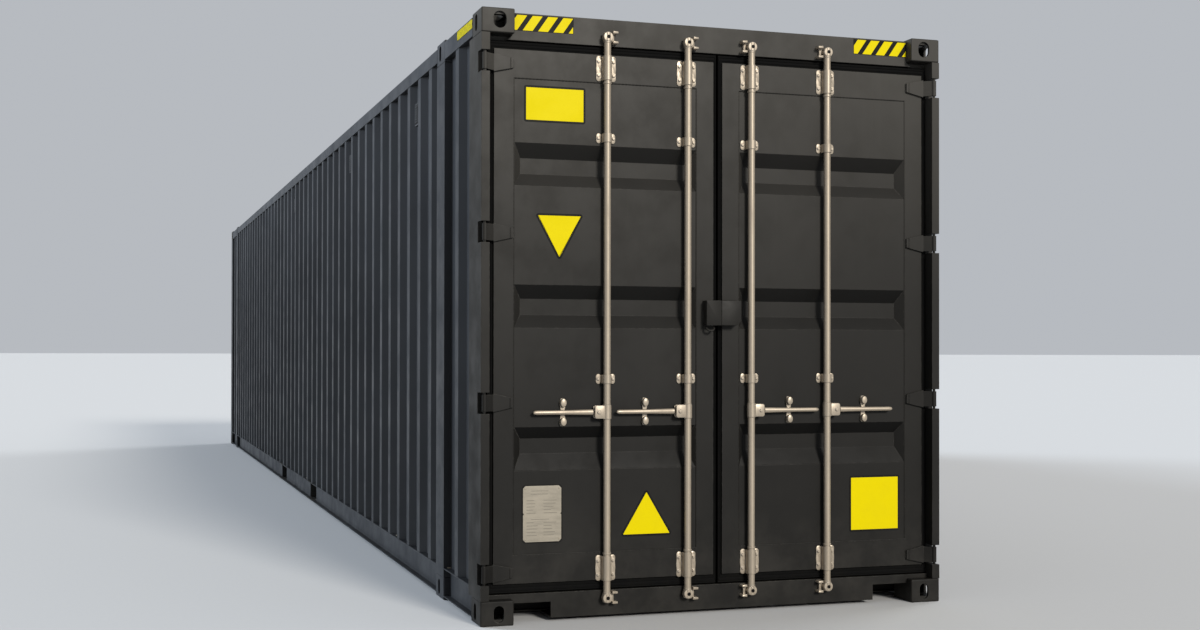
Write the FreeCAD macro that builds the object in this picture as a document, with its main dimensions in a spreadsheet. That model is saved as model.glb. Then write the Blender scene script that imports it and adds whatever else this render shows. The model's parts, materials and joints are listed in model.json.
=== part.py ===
"""Forty-five foot high-cube shipping container with double doors.

Frame: +X along the container toward the doors, +Y to the right of someone who
faces the doors, +Z up. The origin is at the bottom centre, on the ground plane.
All sizes are millimetres. Every driving size is a cell of the sheet "Sizes".
"""
import FreeCAD, Part
import Sketcher
import os
import re

os.makedirs("parts", exist_ok=True)
doc = FreeCAD.newDocument("shipping_container")

# ---------------------------------------------------------------- driving sizes
SIZES = {
    # overall body
    "length": 13716, "width": 2438, "height": 2896,
    # corner castings and their apertures
    "cast_long": 178, "cast_wide": 162, "cast_high": 118,
    "cast_plate": 28, "cast_wall": 14, "cast_round": 7,
    "slot_long": 124, "slot_wide": 63.5,
    "slot_from_end": 103.5, "slot_from_side": 89.5,
    "eye_high": 79.5, "eye_wide": 63.5, "low_eye_wide": 51, "side_eye_wide": 45, "eye_centre_high": 56,
    # the pairs of castings forty feet apart
    "forty_length": 12192,
    # understructure
    "base_gap": 18, "rail_top": 165, "rail_depth": 39, "rail_web": 4.5,
    "floor_thick": 28, "floor_slit": 1, "beam_flange": 45, "beam_web": 4,
    "inner_end_beam": 0.3, "outer_end_beam": 0.75,
    "fork_spacing": 2050, "fork_wide": 360, "fork_high": 115, "fork_plate": 6,
    "fork_seam": 0.3,
    # side walls and roof
    "skin": 2, "skin_inset": 3, "wave_depth": 36, "crest_wide": 66, "wave_slope": 42,
    "first_crest": 175, "roof_wave": 20, "roof_drop": 4,
    "top_rail_wide": 60, "top_rail_wall": 3, "top_rail_drop": 19,
    "top_rail_low": 90, "end_rail_low": 104, "end_rail_drop": 16,
    "forty_post_wide": 60, "forty_post_wall": 5,
    "front_post_wide": 110, "front_post_wall": 6,
    "front_rail_deep": 70, "front_wall_inset": 22,
    "vent_wide": 100, "vent_high": 125, "vent_thick": 18, "vent_top": 204,
    # door frame
    "post_bar": 41, "post_nose": 71, "post_deep": 230, "post_wall": 6,
    "notch_high": 100, "notch_deep": 65,
    "header_low": 2758, "header_top_drop": 9, "header_front": 50, "header_deep": 110,
    "header_wall": 6, "header_point": 23, "ear_inset": 30,
    "sill_top": 138, "sill_deep": 160, "sill_wall": 6,
    "sill_notch_high": 77, "sill_notch_wide": 196,
    # door leaves
    "leaf_front": 50, "leaf_thick": 50, "leaf_low": 187, "leaf_high": 2714,
    "leaf_inner": 24, "leaf_gap": 33, "tube_wall": 4,
    "outer_stile": 97, "inner_stile": 89, "leaf_rail": 134,
    "panel_inset": 3, "groove_deep": 36, "groove_slope": 38,
    "groove_end": 4,
    "seal_gap": 6, "seal_meet": 6, "seal_front": 62, "seal_thick": 32,
    # hinges
    "pin_inset": 21, "pin_deep": 16, "pin_dia": 14, "pin_play": 0.4, "pin_bury": 30,
    "knuckle_dia": 24, "knuckle_high": 78, "blade_front": 38, "blade_thick": 12,
    "neck_front": 2.4, "neck_back": 9.6, "neck_far": 10.08, "neck_near": 4.8, "neck_lap": 0.01,
    "blade_root": 88, "blade_tip": 44, "blade_long": 97, "blade_clear": 49,
    "hinge_low": 240, "hinge_step": 802,
    # locking gear
    "rod_dia": 34, "rod_deep": 24, "inner_rod": 170, "outer_rod": 588,
    "rod_low": 90, "rod_high": 2810, "cam_dia": 42, "cam_high": 40, "cam_proud": 6,
    "rod_play": 0.5, "bracket_wide": 100, "bracket_thick": 8, "saddle_wall": 5,
    "big_bracket": 123, "small_bracket": 48,
    "keeper_gap": 23, "keeper_wide": 27, "keeper_high": 60, "keeper_finger": 12, "keeper_reach": 40,
    "handle_height": 994, "handle_reach": 370, "handle_thick": 12, "handle_bar": 26,
    "handle_pivot": 46, "yoke_plate": 6, "yoke_gap": 2, "yoke_high": 62,
    "handle_pin": 12, "retainer_plate": 6, "lobe_proud": 14,
    "retainer_out": 216, "retainer_high": 130, "retainer_wide": 38, "retainer_waist": 19,
    # lock box over the gap between the leaves, and the data plate
    "box_low": 1413, "box_high": 1535, "box_right": 105, "box_lip": 24, "box_left": 79,
    "box_proud": 50, "box_wall": 5, "box_gap": 8, "staple_drop": 20, "staple_thick": 8,
    "staple_eye": 16, "lip_round": 2,
    "plate_low": 380, "plate_high": 646, "plate_wide": 190, "plate_centre": 904,
    "plate_thick": 2, "plate_corner": 12, "plate_notch": 5,
}

# heights of the four breaks of each recessed groove in a door leaf
GROOVES = [(2275, 2205, 2130, 2071), (1601, 1535, 1458, 1396), (925, 869, 796, 718)]
# heights of the rod brackets on a leaf
BIG_BRACKETS = [245, 2647]
SMALL_BRACKETS = [1152, 2311]
HINGES_PER_LEAF = 4
WALL_CRESTS = 41
ROOF_CRESTS = 56
FRONT_CRESTS = 8
FLOOR_BEAMS = 40
VENT_RECESSES = [1, 9, 20, 30, 38]

sheet = doc.addObject("Spreadsheet::Sheet", "Sizes")
for row, (alias, value) in enumerate(SIZES.items(), start=1):
    sheet.set(f"A{row}", alias)
    sheet.set(f"B{row}", str(value))
    sheet.setAlias(f"B{row}", alias)
for index, breaks in enumerate(GROOVES, start=1):
    for letter, level in zip("abcd", breaks):
        row += 1
        sheet.set(f"B{row}", str(level))
        sheet.setAlias(f"B{row}", f"groove_{index}{letter}")
doc.recompute()


def size(alias):
    """The number in the sheet's cell of that name."""
    return float(sheet.get(alias))


def link(text):
    """Turn plain alias names into references to the sheet."""
    return re.sub(r"[a-z_][a-z_0-9]*", lambda found: "Sizes." + found.group(0), text)


def value(text):
    """The number that an expression of alias names gives now."""
    names = set(re.findall(r"[a-z_][a-z_0-9]*", text))
    for name in sorted(names, key=len, reverse=True):
        text = re.sub(rf"\b{name}\b", repr(size(name)), text)
    return float(FreeCAD.Units.parseQuantity(text).Value)


# ---------------------------------------------------------------- building blocks
def place(thing, across_x, across_y, up):
    """Bind a primitive's corner or centre to three expressions."""
    for axis, text in zip("xyz", (across_x, across_y, up)):
        thing.setExpression(f".Placement.Base.{axis}", link(text))


def block(x_span, y_span, z_span):
    """A Part::Box between two expressions along each axis, low one first."""
    box = doc.addObject("Part::Box", "block")
    spans = (x_span, y_span, z_span)
    for prop, (low, high) in zip(("Length", "Width", "Height"), spans):
        box.setExpression(prop, link(f"({high}) - ({low})"))
    place(box, *(low for low, _ in spans))
    return box


def rod_along(axis, dia, start, long_text):
    """A Part::Cylinder of a diameter along +X, +Y or +Z from a start point."""
    cylinder = doc.addObject("Part::Cylinder", "round")
    cylinder.setExpression("Radius", link(f"({dia}) / 2"))
    cylinder.setExpression("Height", link(long_text))
    if axis == "x":
        cylinder.Placement.Rotation = FreeCAD.Rotation(FreeCAD.Vector(0, 1, 0), 90)
    if axis == "y":
        cylinder.Placement.Rotation = FreeCAD.Rotation(FreeCAD.Vector(1, 0, 0), -90)
    place(cylinder, *start)
    return cylinder


def fuse(*shapes):
    """One solid from several that meet."""
    joined = doc.addObject("Part::MultiFuse", "joined")
    joined.Shapes = list(shapes)
    joined.Refine = True
    return joined


def cut(base, *tools):
    """The base less every tool."""
    tool = tools[0] if len(tools) == 1 else fuse(*tools)
    result = doc.addObject("Part::Cut", "cut")
    result.Base = base
    result.Tool = tool
    return result


def mirror(source, normal):
    """A mirror image in the plane through the origin square to the normal."""
    image = doc.addObject("Part::Mirroring", "mirror")
    image.Source = source
    image.Normal = FreeCAD.Vector(*normal)
    return image


def both_sides(source):
    """The thing and its image across the container's middle plane."""
    return [source, mirror(source, (0, 1, 0))]


def node(label, *pieces):
    """Give a sub-part its name; several apart from each other share a compound."""
    if len(pieces) == 1:
        part = pieces[0]
    else:
        part = doc.addObject("Part::Compound", label)
        part.Links = list(pieces)
    part.Label = label
    nodes[label] = part
    return part


def sketch_on(body, role, outline):
    """A closed outline on an origin plane, each corner tied to two expressions."""
    sketch = body.newObject("Sketcher::SketchObject", "outline")
    plane = next(item for item in body.Origin.OriginFeatures if item.Role == role)
    sketch.AttachmentSupport = [(plane, "")]
    sketch.MapMode = "FlatFace"
    corners = [FreeCAD.Vector(value(a), value(b), 0) for a, b in outline]
    count = len(corners)
    for index, corner in enumerate(corners):
        sketch.addGeometry(Part.LineSegment(corner, corners[(index + 1) % count]), False)
    for index in range(count):
        following = (index + 1) % count
        sketch.addConstraint(Sketcher.Constraint("Coincident", index, 2, following, 1))
    for index, texts in enumerate(outline):
        for kind, text, number in zip(("DistanceX", "DistanceY"), texts, corners[index]):
            tie = Sketcher.Constraint(kind, -1, 1, index, 1, number)
            sketch.setExpression(f"Constraints[{sketch.addConstraint(tie)}]", link(text))
    return sketch


def pad(label, role, outline, start, long_text):
    """A PartDesign body: an outline drawn on an origin plane and padded."""
    body = doc.addObject("PartDesign::Body", label)
    profile = sketch_on(body, role, outline)
    axis = {"XY_Plane": "z", "XZ_Plane": "y", "YZ_Plane": "x"}[role]
    solid = body.newObject("PartDesign::Pad", "pad")
    solid.Profile = profile
    solid.setExpression("Length", link(long_text))
    solid.Reversed = role == "XZ_Plane"
    profile.Visibility = False
    body.setExpression(f".Placement.Base.{axis}", link(start))
    return body


def rounded_block(x_span, y_span, z_span, radius):
    """A block with all twelve of its edges rounded."""
    base = block(x_span, y_span, z_span)
    doc.recompute()
    fillet = doc.addObject("Part::Fillet", "rounded_block")
    fillet.Base = base
    count = len(base.Shape.Edges)
    fillet.Edges = [(number, size(radius), size(radius)) for number in range(1, count + 1)]
    return fillet


def formed(label, shape):
    """A sheet bent by formula, kept as a plain feature."""
    feature = doc.addObject("Part::Feature", label)
    feature.Shape = shape
    return feature



nodes = {}

# shared places, as expressions of the sheet's names
DOOR_END = "length / 2"
SIDE = "width / 2"
CAST_TOP = "height - cast_high"
FORTY_OUT = "forty_length / 2"
FORTY_IN = "forty_length / 2 - cast_long"
PIN_ACROSS = "(width / 2 - pin_inset)"
BLADE_END = f"{PIN_ACROSS} - blade_clear - blade_long"
LEAF_OUTER = "(width / 2 - post_bar - leaf_gap)"
FLOOR_TOP = "rail_top"
FLOOR_UNDER = "rail_top - floor_thick"
WALL_OUT = "width / 2 - skin_inset"
WALL_IN = "width / 2 - skin_inset - wave_depth"
RAIL_TOP_LOW = "height - top_rail_low"
END_RAIL_LOW = "height - end_rail_low"
ROOF_TOP = "height - top_rail_drop - roof_drop"


def depth(text):
    """The X of a plane that lies a given depth behind the door end's face."""
    return f"length / 2 - ({text})"


# ---------------------------------------------------------------- castings
def slot(centre_x, centre_y, low, high):
    """The twist-lock aperture: a slot along X with round ends."""
    half = "(slot_long - slot_wide) / 2"
    middle = block((f"{centre_x} - {half}", f"{centre_x} + {half}"),
                   (f"{centre_y} - slot_wide / 2", f"{centre_y} + slot_wide / 2"), (low, high))
    ends = [rod_along("z", "slot_wide", (f"{centre_x} {sign} {half}", centre_y, low),
                      f"({high}) - ({low})") for sign in "+-"]
    return fuse(middle, *ends)


def eye_hole(axis, start, wide, reach):
    """An upright oval hole through a casting's wall, along +X or +Y from its centre."""
    start_x, start_y, middle = start
    straight = f"(eye_high - {wide}) / 2"
    level = (f"{middle} - {straight}", f"{middle} + {straight}")
    if axis == "x":
        core = block((start_x, f"{start_x} + {reach}"),
                     (f"{start_y} - {wide} / 2", f"{start_y} + {wide} / 2"), level)
    else:
        core = block((f"{start_x} - {wide} / 2", f"{start_x} + {wide} / 2"),
                     (start_y, f"{start_y} + {reach}"), level)
    rounds = [rod_along(axis, wide, (start_x, start_y, height), reach) for height in level]
    return fuse(core, *rounds)


def casting(end_x, top, with_end_eye):
    """A hollow casting at +Y whose outer end lies at end_x."""
    low = CAST_TOP if top else "0"
    high = f"{low} + cast_high"
    inner_x = f"{end_x} - cast_long"
    inner_y = "width / 2 - cast_wide"
    if top:
        hollow_low, hollow_high = f"{low} + cast_wall", f"{high} - cast_plate"
        plate_low, plate_high = f"{high} - cast_plate", high
        eye = "height - eye_centre_high"
    else:
        hollow_low, hollow_high = f"{low} + cast_plate", f"{high} - cast_wall"
        plate_low, plate_high = low, f"{low} + cast_plate"
        eye = "eye_centre_high"
    solid = rounded_block((inner_x, end_x), (inner_y, SIDE), (low, high), "cast_round")
    hollow = block((f"{inner_x} + cast_wall", f"{end_x} - cast_wall"),
                   (f"{inner_y} + cast_wall", f"{SIDE} - cast_wall"), (hollow_low, hollow_high))
    lock = slot(f"{end_x} - slot_from_end", f"{SIDE} - slot_from_side", plate_low, plate_high)
    side_start = (f"{end_x} - slot_from_end", f"{SIDE} - cast_wall", eye)
    tools = [hollow, lock, eye_hole("y", side_start, "side_eye_wide", "cast_wall")]
    if with_end_eye:
        end_start = (f"{end_x} - cast_wall", f"{SIDE} - slot_from_side", eye)
        wide = "eye_wide" if top else "low_eye_wide"
        tools.append(eye_hole("x", end_start, wide, "cast_wall"))
    return cut(solid, *tools)


def four_corners(piece):
    """A piece at the door end's right corner, mirrored to the other three."""
    door_pair = both_sides(piece)
    return door_pair + [mirror(item, (1, 0, 0)) for item in door_pair]


def make_castings():
    for label, end_x, top, eye in (("bottom_corner_castings", DOOR_END, False, True),
                                   ("top_corner_castings", DOOR_END, True, True),
                                   ("bottom_forty_castings", FORTY_OUT, False, False),
                                   ("top_forty_castings", FORTY_OUT, True, False)):
        node(label, *four_corners(casting(end_x, top, eye)))


# ---------------------------------------------------------------- frame
def hinge_height(index):
    return f"hinge_low + {index} * hinge_step"


def make_door_posts():
    """Hollow posts with a solid front bar, notched where each knuckle turns."""
    for label, side in (("right_door_post", 1), ("left_door_post", -1)):
        outer = block((depth("post_deep"), DOOR_END), (f"{SIDE} - post_bar", SIDE),
                      ("cast_high", CAST_TOP))
        core = block((depth("post_deep - post_wall"), depth("post_nose")),
                     (f"{SIDE} - post_bar + post_wall", f"{SIDE} - post_wall"),
                     ("cast_high", CAST_TOP))
        notches = [block((depth("notch_deep"), DOOR_END), (f"{SIDE} - post_bar", SIDE),
                         (f"{hinge_height(index)} - notch_high / 2",
                          f"{hinge_height(index)} + notch_high / 2"))
                   for index in range(HINGES_PER_LEAF)]
        bores = rod_along("z", "pin_dia", (depth("pin_deep"), PIN_ACROSS, "cast_high"),
                          "height - 2 * cast_high")
        post = cut(outer, core, bores, *notches)
        node(label, post if side > 0 else mirror(post, (0, 1, 0)))


def make_hinge_pins():
    """Each pin spans its notch and reaches a pin's length into the bar each way."""
    pins = []
    for index in range(HINGES_PER_LEAF):
        pin = rod_along("z", "pin_dia", (depth("pin_deep"), PIN_ACROSS,
                                         f"{hinge_height(index)} - notch_high / 2 - pin_bury"),
                        "notch_high + 2 * pin_bury")
        pins += both_sides(pin)
    node("hinge_pins", *pins)


def make_header():
    """Box beam over the doors, pointed under the castings, with an ear to each post."""
    half = "width / 2 - cast_wide"
    post = "width / 2 - post_bar"
    high = "height - header_top_drop"
    back = depth("header_front + header_deep")
    outline = [(f"-({half})", high), (half, high), (half, CAST_TOP),
               (f"{half} + header_point", "header_low"),
               (f"-({half} + header_point)", "header_low"), (f"-({half})", CAST_TOP)]
    beam = pad("door_header_beam", "YZ_Plane", outline, back, "header_deep")
    core = block((f"{back} + header_wall", depth("header_front + header_wall")),
                 (f"-({half} - header_wall)", f"{half} - header_wall"),
                 ("header_low + header_wall", f"{high} - header_wall"))
    ear_outline = [(f"{half} + header_point", "header_low"), (post, "header_low"),
                   (post, CAST_TOP), (half, CAST_TOP)]
    ear = pad("door_header_ear", "YZ_Plane", ear_outline, back, "header_deep - ear_inset")
    node("door_header", cut(beam, core), *both_sides(ear))


def make_sill():
    """Channel under the doors, open to the back, cut away beside the castings."""
    half = "width / 2 - cast_wide"
    front = depth("header_front")
    back = depth("header_front + sill_deep")
    beam = block((back, front), (f"-({half})", half), ("base_gap", "sill_top"))
    channel = block((back, f"{front} - sill_wall"), (f"-({half})", half),
                    ("base_gap + sill_wall", "sill_top - sill_wall"))
    snips = [block((back, front), (low, high), ("base_gap", "base_gap + sill_notch_high"))
             for low, high in ((f"{half} - sill_notch_wide", half),
                               (f"-({half})", f"-({half} - sill_notch_wide)"))]
    corner_plates = [block((back, front), (low, high), ("cast_high", "sill_top"))
                     for low, high in ((half, "width / 2 - post_bar"),
                                       ("-(width / 2 - post_bar)", f"-({half})"))]
    threshold = block((back, f"{back} + sill_wall"), ("-(width / 2 - post_bar)",
                                                      "width / 2 - post_bar"),
                      ("sill_top - sill_wall", FLOOR_TOP))
    node("door_sill", fuse(cut(beam, channel, *snips), *corner_plates, threshold))


def make_front_end():
    """Blind end: posts, sill, header and a corrugated wall between them."""
    end = "-(length / 2)"
    post_in = f"{SIDE} - front_post_wide"
    outer = block((end, f"{end} + cast_long"), (post_in, SIDE), ("cast_high", CAST_TOP))
    core = block((f"{end} + front_post_wall", f"{end} + cast_long - front_post_wall"),
                 (f"{post_in} + front_post_wall", f"{SIDE} - front_post_wall"),
                 ("cast_high", CAST_TOP))
    node("front_posts", *both_sides(cut(outer, core)))
    half = "width / 2 - cast_wide"
    deep = ("front_rail_deep + front_post_wall")
    sill = block((end, f"{end} + {deep}"), (f"-({half})", half), ("base_gap", "rail_top"))
    sill_core = block((f"{end} + top_rail_wall", f"{end} + {deep} - top_rail_wall"),
                      (f"-({half})", half),
                      ("base_gap + top_rail_wall", "rail_top - top_rail_wall"))
    node("front_sill", cut(sill, sill_core))
    high = "height - header_top_drop"
    header = block((end, f"{end} + {deep}"), (f"-({half})", half), (CAST_TOP, high))
    header_core = block((f"{end} + top_rail_wall", f"{end} + {deep} - top_rail_wall"),
                        (f"-({half})", half),
                        (f"{CAST_TOP} + top_rail_wall", f"{high} - top_rail_wall"))
    node("front_header", cut(header, header_core))


def make_forty_posts():
    """Posts between the upper and lower castings of each forty-foot pair."""
    wide = f"{SIDE} - forty_post_wide"
    outer = block((FORTY_IN, FORTY_OUT), (wide, SIDE), ("cast_high", CAST_TOP))
    core = block((f"{FORTY_IN} + forty_post_wall", f"{FORTY_OUT} - forty_post_wall"),
                 (f"{wide} + forty_post_wall", f"{SIDE} - forty_post_wall"),
                 ("cast_high", CAST_TOP))
    node("forty_foot_posts", *four_corners(cut(outer, core)))


def rail_tube(start, stop, low, high):
    """Square tube of a top side rail at +Y."""
    wide = f"{SIDE} - top_rail_wide"
    outer = block((start, stop), (wide, SIDE), (low, high))
    core = block((start, stop), (f"{wide} + top_rail_wall", f"{SIDE} - top_rail_wall"),
                 (f"{low} + top_rail_wall", f"{high} - top_rail_wall"))
    return cut(outer, core)


def rail_channel(start, stop):
    """Bottom side rail at +Y: a channel that opens outward."""
    outer = block((start, stop), (f"{SIDE} - rail_depth", SIDE), ("base_gap", "rail_top"))
    core = block((start, stop), (f"{SIDE} - rail_depth + rail_web", SIDE),
                 ("base_gap + rail_web", "rail_top - rail_web"))
    return cut(outer, core)


FORK_HIGH = "base_gap + rail_web + fork_high"


def fork_span(sign):
    """The X of the two sides of one fork pocket."""
    centre = f"{sign} * fork_spacing / 2"
    return f"{centre} - fork_wide / 2", f"{centre} + fork_wide / 2"


def make_side_rails():
    roof_edge = "height - top_rail_drop"
    main_top = rail_tube(f"-({FORTY_IN})", FORTY_IN, RAIL_TOP_LOW, roof_edge)
    door_top = rail_tube(FORTY_OUT, depth("cast_long"), END_RAIL_LOW, "height - end_rail_drop")
    front_top = mirror(door_top, (1, 0, 0))
    (low_far, low_near), (high_near, high_far) = fork_span(-1), fork_span(1)
    runs = [rail_channel(f"-({FORTY_IN})", low_far), rail_channel(low_near, high_near),
            rail_channel(high_far, FORTY_IN)]
    post_foot = block((depth("post_deep"), depth("cast_long")), (f"{SIDE} - rail_depth", SIDE),
                      ("cast_high", "rail_top"))
    door_low = cut(rail_channel(FORTY_OUT, depth("cast_long")), post_foot)
    front_low = mirror(rail_channel(FORTY_OUT, depth("cast_long")), (1, 0, 0))
    for side, flip in (("right", False), ("left", True)):
        for name, pieces in (("top_rail", (main_top, door_top, front_top)),
                             ("bottom_rail", (*runs, door_low, front_low))):
            images = [mirror(piece, (0, 1, 0)) for piece in pieces] if flip else pieces
            node(f"{side}_{name}", *images)


def make_fork_pockets():
    """Side plates and top plate of each pocket, and the frames of its mouths."""
    reach = f"{SIDE} - rail_depth"
    sides, frames = [], []
    for sign in (-1, 1):
        low, high = fork_span(sign)
        across = (f"-({reach})", reach)
        sides.append(block((f"{low} - fork_plate", low), across, ("base_gap", FLOOR_UNDER)))
        sides.append(block((high, f"{high} + fork_plate"), across, ("base_gap", FLOOR_UNDER)))
        frames.append(block((low, high), across,
                            (f"{FLOOR_UNDER} - fork_plate - fork_seam",
                             f"{FLOOR_UNDER} - fork_seam")))
        lintel = block((low, high), (reach, SIDE), (FORK_HIGH, "rail_top"))
        lintel_core = block((low, high), (f"{reach} + rail_web", SIDE),
                            (FORK_HIGH, "rail_top - rail_web"))
        strap = block((low, high), (reach, SIDE), ("base_gap", "base_gap + rail_web"))
        frames += both_sides(cut(lintel, lintel_core)) + both_sides(strap)
    node("fork_pocket_sides", *sides)
    node("fork_pocket_frames", *frames)


# ---------------------------------------------------------------- sheets
def wave_outline(start, stop, crests, first, crest, slope, low, high):
    """Points of a trapezoidal wave from start to stop, with crests at high."""
    points = [(start, low)]
    pitch = 0 if crests == 1 else (stop - start - 2 * first) / (crests - 1)
    for index in range(crests):
        centre = start + first + index * pitch
        points.append((centre - crest / 2 - slope, low))
        points.append((centre - crest / 2, high))
        points.append((centre + crest / 2, high))
        points.append((centre + crest / 2 + slope, low))
    points.append((stop, low))
    return points


def wave_sheet(points, thick, to_space, run):
    """Extrude a wave line given a thickness, in the plane that to_space sets."""
    back = [(along, across - thick) for along, across in reversed(points)]
    loop = [to_space(along, across) for along, across in points + back]
    face = Part.Face(Part.makePolygon(loop + [loop[0]]))
    return face.extrude(run)


def side_wall_piece(start, stop, crests, first, top):
    """Vertical corrugations of a side wall at +Y."""
    low = value(WALL_IN) + size("skin")
    points = wave_outline(start, stop, crests, first, size("crest_wide"), size("wave_slope"),
                          low, value(WALL_OUT))
    base = size("rail_top")
    return wave_sheet(points, size("skin"), lambda along, out: FreeCAD.Vector(along, out, base),
                      FreeCAD.Vector(0, 0, top - base))


def make_side_walls():
    forty_in = value(FORTY_IN)
    forty_out = value(FORTY_OUT)
    main = side_wall_piece(-forty_in, forty_in, WALL_CRESTS, size("first_crest"),
                           value(RAIL_TOP_LOW))
    door_edge = value(depth("post_deep"))
    front_edge = -value(DOOR_END) + size("cast_long")
    pieces = [main]
    for start, stop in ((forty_out, door_edge), (front_edge, -forty_out)):
        pieces.append(side_wall_piece(start, stop, 1, (stop - start) / 2, value(END_RAIL_LOW)))
    right = [formed("wall_sheet", piece) for piece in pieces]
    node("right_side_wall", *right)
    node("left_side_wall", *[mirror(piece, (0, 1, 0)) for piece in right])


def make_front_wall():
    """Blind end wall, corrugated like the sides and set back in its frame."""
    outer = -value(DOOR_END) + size("front_wall_inset")
    edge = value(f"{SIDE} - front_post_wide")
    pitch = 2 * edge / FRONT_CRESTS
    points = wave_outline(-edge, edge, FRONT_CRESTS, pitch / 2, size("crest_wide"),
                          size("wave_slope"), -outer - size("wave_depth"), -outer)
    base = size("rail_top")
    sheet_shape = wave_sheet(points, size("skin"),
                             lambda along, out: FreeCAD.Vector(-out, along, base),
                             FreeCAD.Vector(0, 0, value(CAST_TOP) - base))
    node("front_wall", formed("front_wall_sheet", sheet_shape))


def make_roof():
    """Cross-corrugated roof between the forty-foot castings, lipped plain plates past them."""
    reach = value(FORTY_IN)
    half = value(f"{SIDE} - top_rail_wide")
    top = value(ROOF_TOP)
    pitch = 2 * reach / ROOF_CRESTS
    slope = size("roof_wave")
    points = wave_outline(-reach, reach, ROOF_CRESTS, pitch / 2, pitch / 2 - slope, slope,
                          top - size("roof_wave"), top)
    shape = wave_sheet(points, size("skin"), lambda along, up: FreeCAD.Vector(along, -half, up),
                       FreeCAD.Vector(0, 2 * half, 0))
    node("roof", formed("roof_sheet", shape))
    rail = "width / 2 - top_rail_wide"
    inner = "width / 2 - cast_wide"
    ends = []
    for edge in ("header_front + header_deep", "front_rail_deep + front_post_wall"):
        stop = depth(edge)
        level = (f"{ROOF_TOP} - 2 * skin", ROOF_TOP)
        strips = [block((FORTY_IN, stop), (f"-({inner})", inner), level)]
        strips += both_sides(block((FORTY_OUT, depth("cast_long")), (inner, rail), level))
        strips.append(block((FORTY_IN, f"{FORTY_IN} + skin"), (f"-({inner})", inner),
                            (f"{ROOF_TOP} - roof_wave - skin", f"{ROOF_TOP} - 2 * skin")))
        ends.append(strips)
    front = [mirror(strip, (1, 0, 0)) for strip in ends[1]]
    node("roof_end_plates", *ends[0], *front)


# ---------------------------------------------------------------- floor
def make_floor():
    """One deck that stops a slit short of the rails and is notched round each post."""
    half = "width / 2 - post_bar - floor_slit"
    forty = "width / 2 - forty_post_wide - floor_slit"
    front_half = "width / 2 - front_post_wide - floor_slit"
    front = "-(length / 2) + front_rail_deep + front_post_wall"
    post_end = "-(length / 2) + cast_long + floor_slit"
    right_edge = [(front, front_half), (post_end, front_half), (post_end, half)]
    for low, high in ((f"-({FORTY_OUT}) - floor_slit", f"-({FORTY_IN}) + floor_slit"),
                      (f"{FORTY_IN} - floor_slit", f"{FORTY_OUT} + floor_slit")):
        right_edge += [(low, half), (low, forty), (high, forty), (high, half)]
    right_edge.append((depth("header_front + sill_deep"), half))
    left_edge = [(along, f"-({across})") for along, across in reversed(right_edge)]
    node("floor_boards",
         pad("floor_deck", "XY_Plane", right_edge + left_edge, FLOOR_UNDER, "floor_thick"))


def beam_at(centre, half):
    """Cross-member: a channel that opens toward +X."""
    outer = block((f"{centre} - beam_flange / 2", f"{centre} + beam_flange / 2"),
                  (f"-({half})", half), ("base_gap", FLOOR_UNDER))
    core = block((f"{centre} - beam_flange / 2 + beam_web", f"{centre} + beam_flange / 2"),
                 (f"-({half})", half),
                 ("base_gap + beam_web", f"{FLOOR_UNDER} - beam_web"))
    return cut(outer, core)


def make_cross_members():
    """Evenly spaced under the floor, with none in the fork pockets' way."""
    reach = value(FORTY_IN) - size("beam_flange")
    step = 2 * reach / (FLOOR_BEAMS - 1)
    keep_off = size("fork_wide") / 2 + size("fork_plate") + size("beam_flange")
    beams = []
    for index in range(FLOOR_BEAMS):
        centre = -reach + index * step
        if abs(abs(centre) - size("fork_spacing") / 2) < keep_off:
            continue
        beams.append(beam_at(repr(round(centre, 3)), "width / 2 - rail_depth"))
    for sign in (-1, 1):
        for share in ("inner_end_beam", "outer_end_beam"):
            centre = f"{sign} * ({FORTY_OUT} + {share} * (length - forty_length) / 2"
            centre += " - cast_long / 2)"
            beams.append(beam_at(centre, "width / 2 - post_bar - floor_slit"))
    node("cross_members", *beams)


def make_vents():
    """Small covered vents high in some of the wall's recesses."""
    reach = value(FORTY_IN)
    pitch = (2 * reach - 2 * size("first_crest")) / (WALL_CRESTS - 1)
    vents = []
    for recess in VENT_RECESSES:
        centre = repr(round(reach - size("first_crest") - (recess + 0.5) * pitch, 3))
        vent = block((f"{centre} - vent_wide / 2", f"{centre} + vent_wide / 2"),
                     (f"{WALL_IN} + skin", f"{WALL_IN} + skin + vent_thick"),
                     ("height - vent_top - vent_high", "height - vent_top"))
        vents += both_sides(vent)
    node("wall_vents", *vents)


# ---------------------------------------------------------------- doors
def make_leaf_frame(label, mirrored):
    """Tube frame of the right leaf, or of the left one as its mirror image."""
    back = depth("leaf_front + leaf_thick")
    front = depth("leaf_front")
    outer = block((back, front), ("leaf_inner", LEAF_OUTER), ("leaf_low", "leaf_high"))
    window = block((back, front), ("leaf_inner + inner_stile", f"{LEAF_OUTER} - outer_stile"),
                   ("leaf_low + leaf_rail", "leaf_high - leaf_rail"))
    inside_x = (f"{back} + tube_wall", f"{front} - tube_wall")
    stile_z = ("leaf_low + tube_wall", "leaf_high - tube_wall")
    hollows = [
        block(inside_x, ("leaf_inner + tube_wall", "leaf_inner + inner_stile - tube_wall"), stile_z),
        block(inside_x, (f"{LEAF_OUTER} - outer_stile + tube_wall", f"{LEAF_OUTER} - tube_wall"), stile_z),
    ]
    between = ("leaf_inner + inner_stile + tube_wall", f"{LEAF_OUTER} - outer_stile - tube_wall")
    for low in ("leaf_low", "leaf_high - leaf_rail"):
        hollows.append(block(inside_x, between, (f"{low} + tube_wall",
                                                 f"{low} + leaf_rail - tube_wall")))
    frame = cut(outer, window, *hollows)
    node(label, mirror(frame, (0, 1, 0)) if mirrored else frame)


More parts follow.
